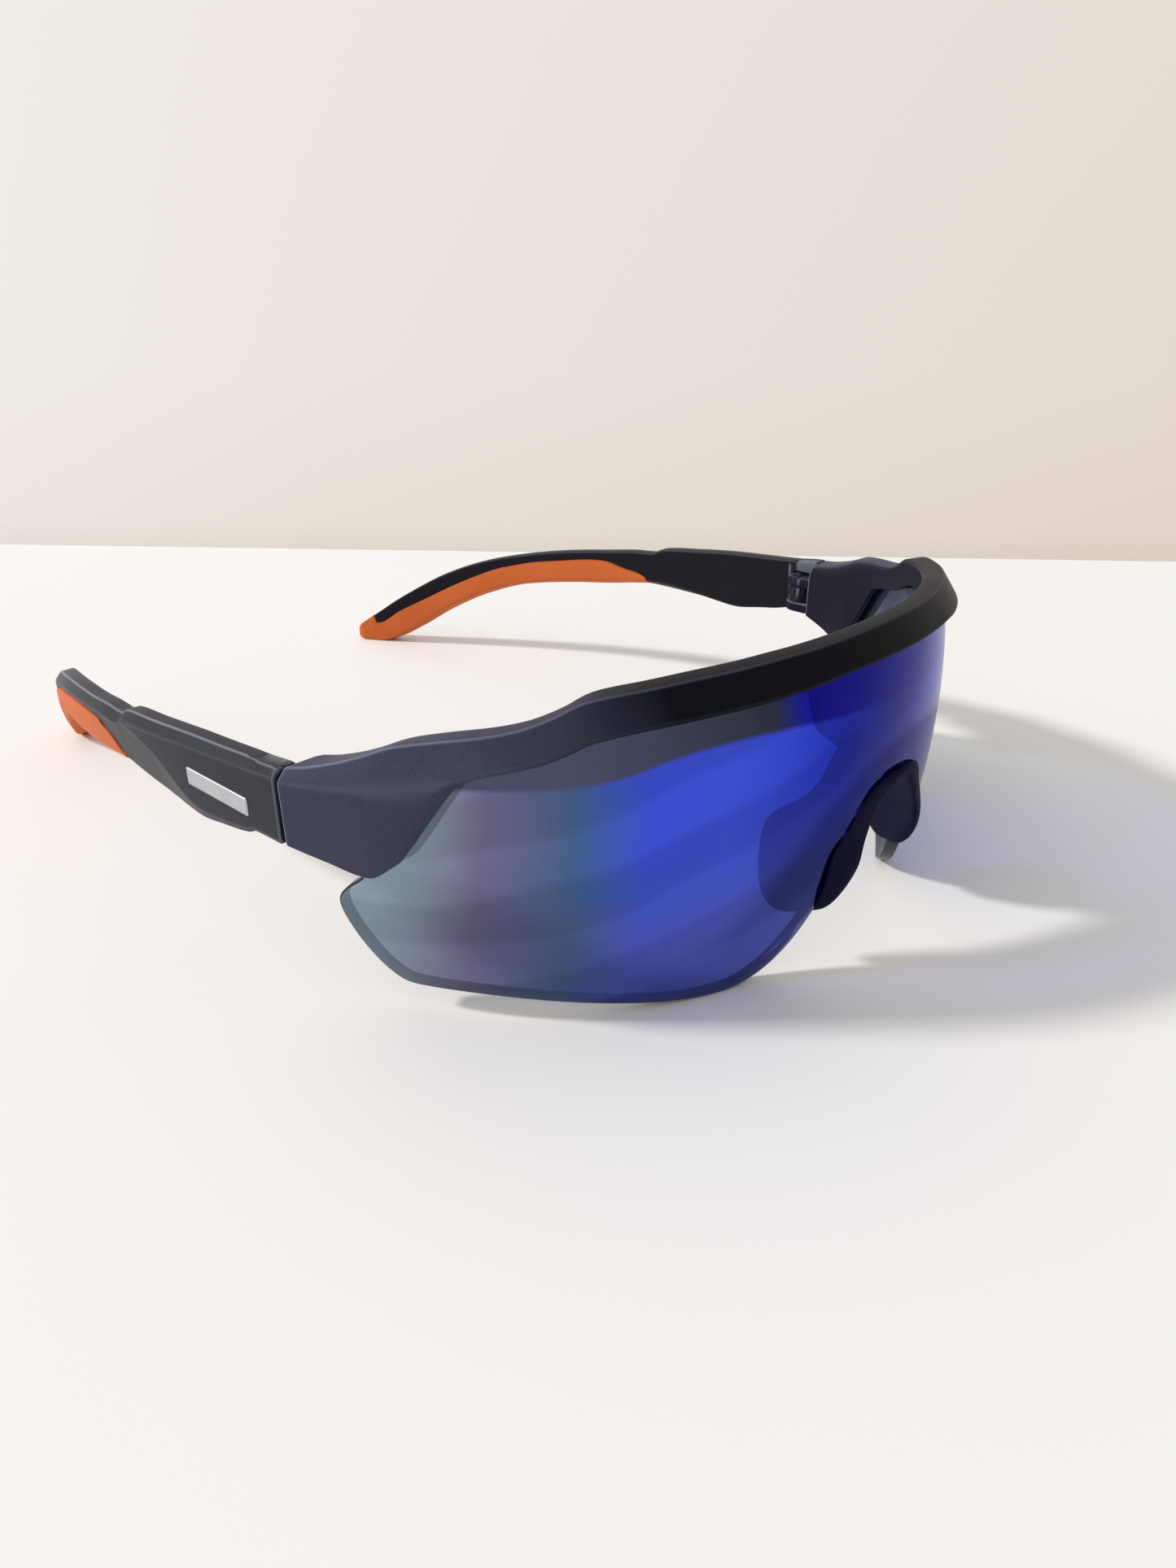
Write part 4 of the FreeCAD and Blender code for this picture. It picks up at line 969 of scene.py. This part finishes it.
def mirror_coat():
    """Part of the colour comes from the coat and part is seen through the sheet."""
    finish = Finish("lens_mirror_coat", Metallic=1.0, Roughness=0.06)
    x, _, z = finish.split(finish.place)
    drift = finish.spread(finish.noise(45.0, 1.0), 0.3, 0.7, -0.0012, 0.0012)
    aside = finish.add(finish.maths("ABSOLUTE", x), drift)
    share = finish.spread(aside, 0.0, LENS_SPAN * MM)

    def across(colours):
        return finish.stops(share, [(place / LENS_SPAN, colour) for place, colour in colours])

    # painted reflection: paler stripes lean across the sheet
    lean = finish.add(z, finish.times(x, -0.45))
    reflection_stripe = finish.maths("SINE", finish.times(finish.add(lean, drift), REFLECTION_STRIPES))
    # painted shade: below a leaning height the coat is dulled with slate
    low = finish.spread(finish.add(z, finish.times(x, -0.22)), *SHADE_ZONE)
    low = finish.put("ShaderNodeMapRange", {"Value": low}, interpolation_type="SMOOTHSTEP").outputs[0]
    coat = across(COAT)
    shade_dulled = finish.mixed(finish.spread(share, *SHADE_DULL_FADES, SHADE_DULLING, 0.0), coat, SLATE)
    clear = finish.mixed(low, shade_dulled, coat)
    clear = finish.scaled(clear, finish.spread(reflection_stripe, -0.35, 0.35, 0.90, 1.08))

    # painted reflection: above a height line across the sheet the colour turns to a dark band under the bar
    line = finish.put("ShaderNodeFloatCurve", {"Value": share})
    curve = line.mapping.curves[0]
    while len(curve.points) < len(DARK_REFLECTION_LINE):
        curve.points.new(0.5, 0.5)
    for point, (place, height) in zip(curve.points, DARK_REFLECTION_LINE):
        point.location = (place / LENS_SPAN, height / LENS_HEIGHT)
    line.mapping.update()
    above = finish.minus(z, finish.times(line.outputs[0], LENS_HEIGHT * MM))
    whole = finish.mixed(finish.spread(above, -0.0003, 0.0004), clear, across(DARK_REFLECTION))
    # painted sheen: towards grazing the colour turns mauve
    rim = finish.put("ShaderNodeLayerWeight", {"Blend": 0.5}).outputs["Facing"]
    whole = finish.mixed(finish.spread(rim, 0.68, 0.95, 0.0, 0.85), whole, painted(GRAZING_SHEEN_COLOUR))
    finish.drive("Base Color", whole)
    finish.drive("Roughness", finish.spread(finish.noise(260.0, 3.0, 0.6), 0.3, 0.75, 0.045, 0.1))
    sheet = finish.put("ShaderNodeBsdfTransparent", {"Color": finish.scaled(whole, SEEN_THROUGH)})
    part = finish.put("ShaderNodeMixShader", {0: COAT_SHARE, 1: sheet.outputs[0], 2: finish.main.outputs[0]})
    finish.feed(finish.out.inputs[0], part.outputs[0])
    return finish.material


def tinted(name, colour, alpha, roughness):
    """The bare face and the cut edge of the lens."""
    finish = Finish(name, Alpha=alpha, Roughness=roughness, Specular_IOR_Level=0.2)
    cloud = finish.noise(180.0, 3.0)
    finish.drive("Base Color", finish.mixed(cloud, colour, tuple(c * 1.25 for c in colour)))
    finish.drive("Roughness", finish.spread(cloud, 0.3, 0.7, roughness * 0.7, roughness * 1.3))
    return finish.material


def metal(name, colour, roughness, stretch, grain):
    """Worked metal with fine marks along one way."""
    finish = Finish(name, Metallic=1.0)
    marks, cloud = finish.noise(grain, 3.0, 0.6, stretch), finish.noise(300.0, 2.0)
    finish.drive("Base Color", finish.mixed(marks, colour, tuple(c * 0.75 for c in colour)))
    uneven = finish.add(finish.spread(marks, 0.3, 0.7, -0.06, 0.08),
                        finish.spread(cloud, 0.3, 0.7, -0.04, 0.04))
    finish.drive("Roughness", finish.add(uneven, roughness))
    finish.bump(marks, 0.15, 0.00004)
    return finish.material


def dress(node_name, material):
    """Put a material on a CAD node that stays."""
    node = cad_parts[node_name]
    if not node.material_slots:
        node.data.materials.append(material)
    for slot in node.material_slots:
        slot.material = material


# Floor, backdrop, light and camera


FLOOR_REACH, FLOOR_Z = 4.0, -5e-5
SKY_SIDE, SKY_LEVELS = (-0.45, 0.54, 0.71), (0.1, 0.82)        # the side the fill is strongest from
FILL_COLOUR, PALE = (1.0, 0.98, 0.95), (0.86, 0.83, 0.79)
KEY_WAY, KEY_DISTANCE, KEY_SIZE, KEY_POWER = (-0.5, 0.5, 0.5), 7.0, 0.76, 318.0
KEY_COLOUR = (1.0, 0.98, 0.96)
WALL_AWAY, WALL_ASIDE = Vector((0.765, 0.644, 0.0)), Vector((0.644, -0.765, 0.0))
WALL_DISTANCE = 0.1805
CAMERA_TURN = 0.871989, 0.466729, 0.014905      # yaw, pitch and roll in radians
CAMERA_PLACE, CAMERA_LENS = Vector((-0.128456, -0.1358155, 0.091905)), 23.64


def plain_sheet(name, corners, cover):
    mesh = bpy.data.meshes.new(name)
    mesh.from_pydata([tuple(c) for c in corners], [], [(0, 1, 2, 3)])
    mesh.materials.append(cover.material)
    sheet = added(name, mesh)
    return sheet


def make_floor():
    cover = Finish("floor_white", Roughness=0.7, Specular_IOR_Level=0.05)
    cover.drive("Base Color", cover.mixed(cover.noise(6.0, 3.0), (0.915, 0.905, 0.895), (0.945, 0.94, 0.935)))
    corners = (-1, -1), (1, -1), (1, 1), (-1, 1)
    plain_sheet("floor", [(x * FLOOR_REACH, y * FLOOR_REACH, FLOOR_Z) for x, y in corners], cover)


def make_backdrop():
    """A wall square to the camera's heading, a little behind the temple tips. It shows only from in front."""
    paint = Finish("backdrop_beige")
    z = paint.split(paint.place)[2]
    # painted light: the glowing wall is lighter to the left and towards its top, darker to the right, with
    # painted shade along its foot
    side = paint.spread(paint.towards(paint.place, WALL_ASIDE), -0.22, 0.22)
    colour = paint.stops(side, [(0.0, (0.90, 0.86, 0.81)), (0.35, (0.80, 0.74, 0.67)),
                                (1.0, (0.68, 0.58, 0.49))])
    shade = paint.stops(paint.spread(z, 0.0, 0.3), [
        (0.0, (0.70, 0.63, 0.56)), (0.03, (0.80, 0.74, 0.68)), (0.2, (0.86, 0.82, 0.78)),
        (1.0, (0.93, 0.90, 0.87))])
    glow = paint.put("ShaderNodeEmission", {"Color": paint.mixed(0.5, colour, shade), "Strength": 1.0})
    hidden = paint.put("ShaderNodeBsdfTransparent")
    rear = paint.put("ShaderNodeNewGeometry").outputs["Backfacing"]
    pick = paint.put("ShaderNodeMixShader", {0: rear, 1: glow.outputs[0], 2: hidden.outputs[0]})
    paint.feed(paint.out.inputs[0], pick.outputs[0])
    foot, half = WALL_AWAY * WALL_DISTANCE, WALL_ASIDE * 3
    low, high = Vector((0, 0, -0.001)), Vector((0, 0, 3))
    wall = plain_sheet("backdrop", [foot - half + low, foot + half + low, foot + half + high,
                                    foot - half + high], paint)
    wall.visible_diffuse = False
    wall.visible_shadow = False


def make_world():
    """A soft fill that is stronger from one side, behind which the camera and gloss see a pale backdrop."""
    world = bpy.data.worlds.new("studio")
    bpy.context.scene.world = world
    world.use_nodes = True
    world.node_tree.nodes.clear()
    sky = Nodes(world.node_tree)
    heading = sky.put("ShaderNodeTexCoord").outputs["Generated"]
    level = sky.spread(sky.towards(heading, SKY_SIDE), -1.0, 1.0, *SKY_LEVELS)
    fill = sky.put("ShaderNodeBackground", {"Color": FILL_COLOUR, "Strength": level})
    pale = sky.put("ShaderNodeBackground", {"Color": PALE, "Strength": 1.0})
    rays = sky.put("ShaderNodeLightPath").outputs
    seen = rays["Is Camera Ray"]
    for kind in ("Is Glossy Ray", "Is Transmission Ray"):
        seen = sky.put("ShaderNodeMath", {0: seen, 1: rays[kind]}, operation="ADD", use_clamp=True).outputs[0]
    pick = sky.put("ShaderNodeMixShader", {0: seen, 1: fill.outputs[0], 2: pale.outputs[0]})
    sky.put("ShaderNodeOutputWorld", {0: pick.outputs[0]})


def make_key():
    light = bpy.data.lights.new("key", "AREA")
    light.shape = "DISK"
    light.size = KEY_SIZE
    light.energy = KEY_POWER
    light.color = KEY_COLOUR
    lamp = added("key", light)
    way = Vector(KEY_WAY).normalized()
    lamp.location = way * KEY_DISTANCE
    lamp.rotation_mode = "QUATERNION"
    lamp.rotation_quaternion = way.to_track_quat("Z", "Y")


def make_camera():
    """The photograph's own view, found from the glasses' mirror symmetry."""
    yaw, pitch, roll = CAMERA_TURN
    ahead = Vector((math.sin(yaw) * math.cos(pitch), math.cos(yaw) * math.cos(pitch), -math.sin(pitch)))
    level = Vector((math.cos(yaw), -math.sin(yaw), 0.0))
    upright = level.cross(ahead)
    right = level * math.cos(roll) + upright * math.sin(roll)
    up = upright * math.cos(roll) - level * math.sin(roll)
    camera = added("camera", bpy.data.cameras.new("camera"))
    camera.data.lens = CAMERA_LENS
    camera.data.sensor_width = 36.0
    camera.data.clip_start = 0.005
    camera.data.clip_end = 50.0
    turn = Matrix((right, up, -ahead)).transposed()
    camera.matrix_world = Matrix.Translation(CAMERA_PLACE) @ turn.to_4x4()
    bpy.context.scene.camera = camera


def main():
    bpy.context.scene.view_settings.view_transform = "Standard"
    # the plastics' fourth colour is a painted highlight on marked edges; the front's pair after it paints its
    # ends lighter as painted light, and the last colour paints the faces towards the wearer darker as painted
    # shade
    shell = moulded("frame_soft_navy", "07080f", "0e0f1a", 0.42, 5200.0, 0.25, "858aa4", ("383b4e", "474a61"),
                    "1b1b28", Specular_IOR_Level=0.05)
    arm = moulded("temple_charcoal", "1c1f28", "292c36", 0.4, 5200.0, 0.25, "9095a6", None, "12121b",
                  Specular_IOR_Level=0.12)
    # the rubber's fourth colour paints its seam rim redder
    rubber = moulded("grip_orange_rubber", "bf5a24", "cf6c33", 0.6, 4200.0, 0.3, "a83a1a",
                     Specular_IOR_Level=0.2)
    soft = moulded("pad_black_rubber", "12122a", "1c1c38", 0.6, 4200.0, 0.25, Specular_IOR_Level=0.03)
    make_front_frame(shell)
    make_lens(mirror_coat(), tinted("lens_bare_face", (0.012, 0.015, 0.03), 0.42, 0.08),
              tinted("lens_cut_edge", (0.006, 0.01, 0.022), 1.0, 0.25))
    make_nose_pad(soft)
    make_temples(arm)
    make_grips(rubber)
    make_inlays(metal("inlay_satin", (0.60, 0.61, 0.64), 0.34, (1.0, 0.08, 1.0), 2600.0))
    steel = metal("screw_steel", (0.12, 0.12, 0.13), 0.4, (1.0, 1.0, 0.2), 2200.0)
    brass = metal("insert_brass", (0.72, 0.55, 0.25), 0.32, (1.0, 1.0, 0.2), 2200.0)
    for word, _ in SIDES:
        dress(f"hinge_screw_{word}", steel)
        dress(f"hinge_insert_{word}", brass)
    make_floor()
    make_backdrop()
    make_world()
    make_key()
    make_camera()


main()
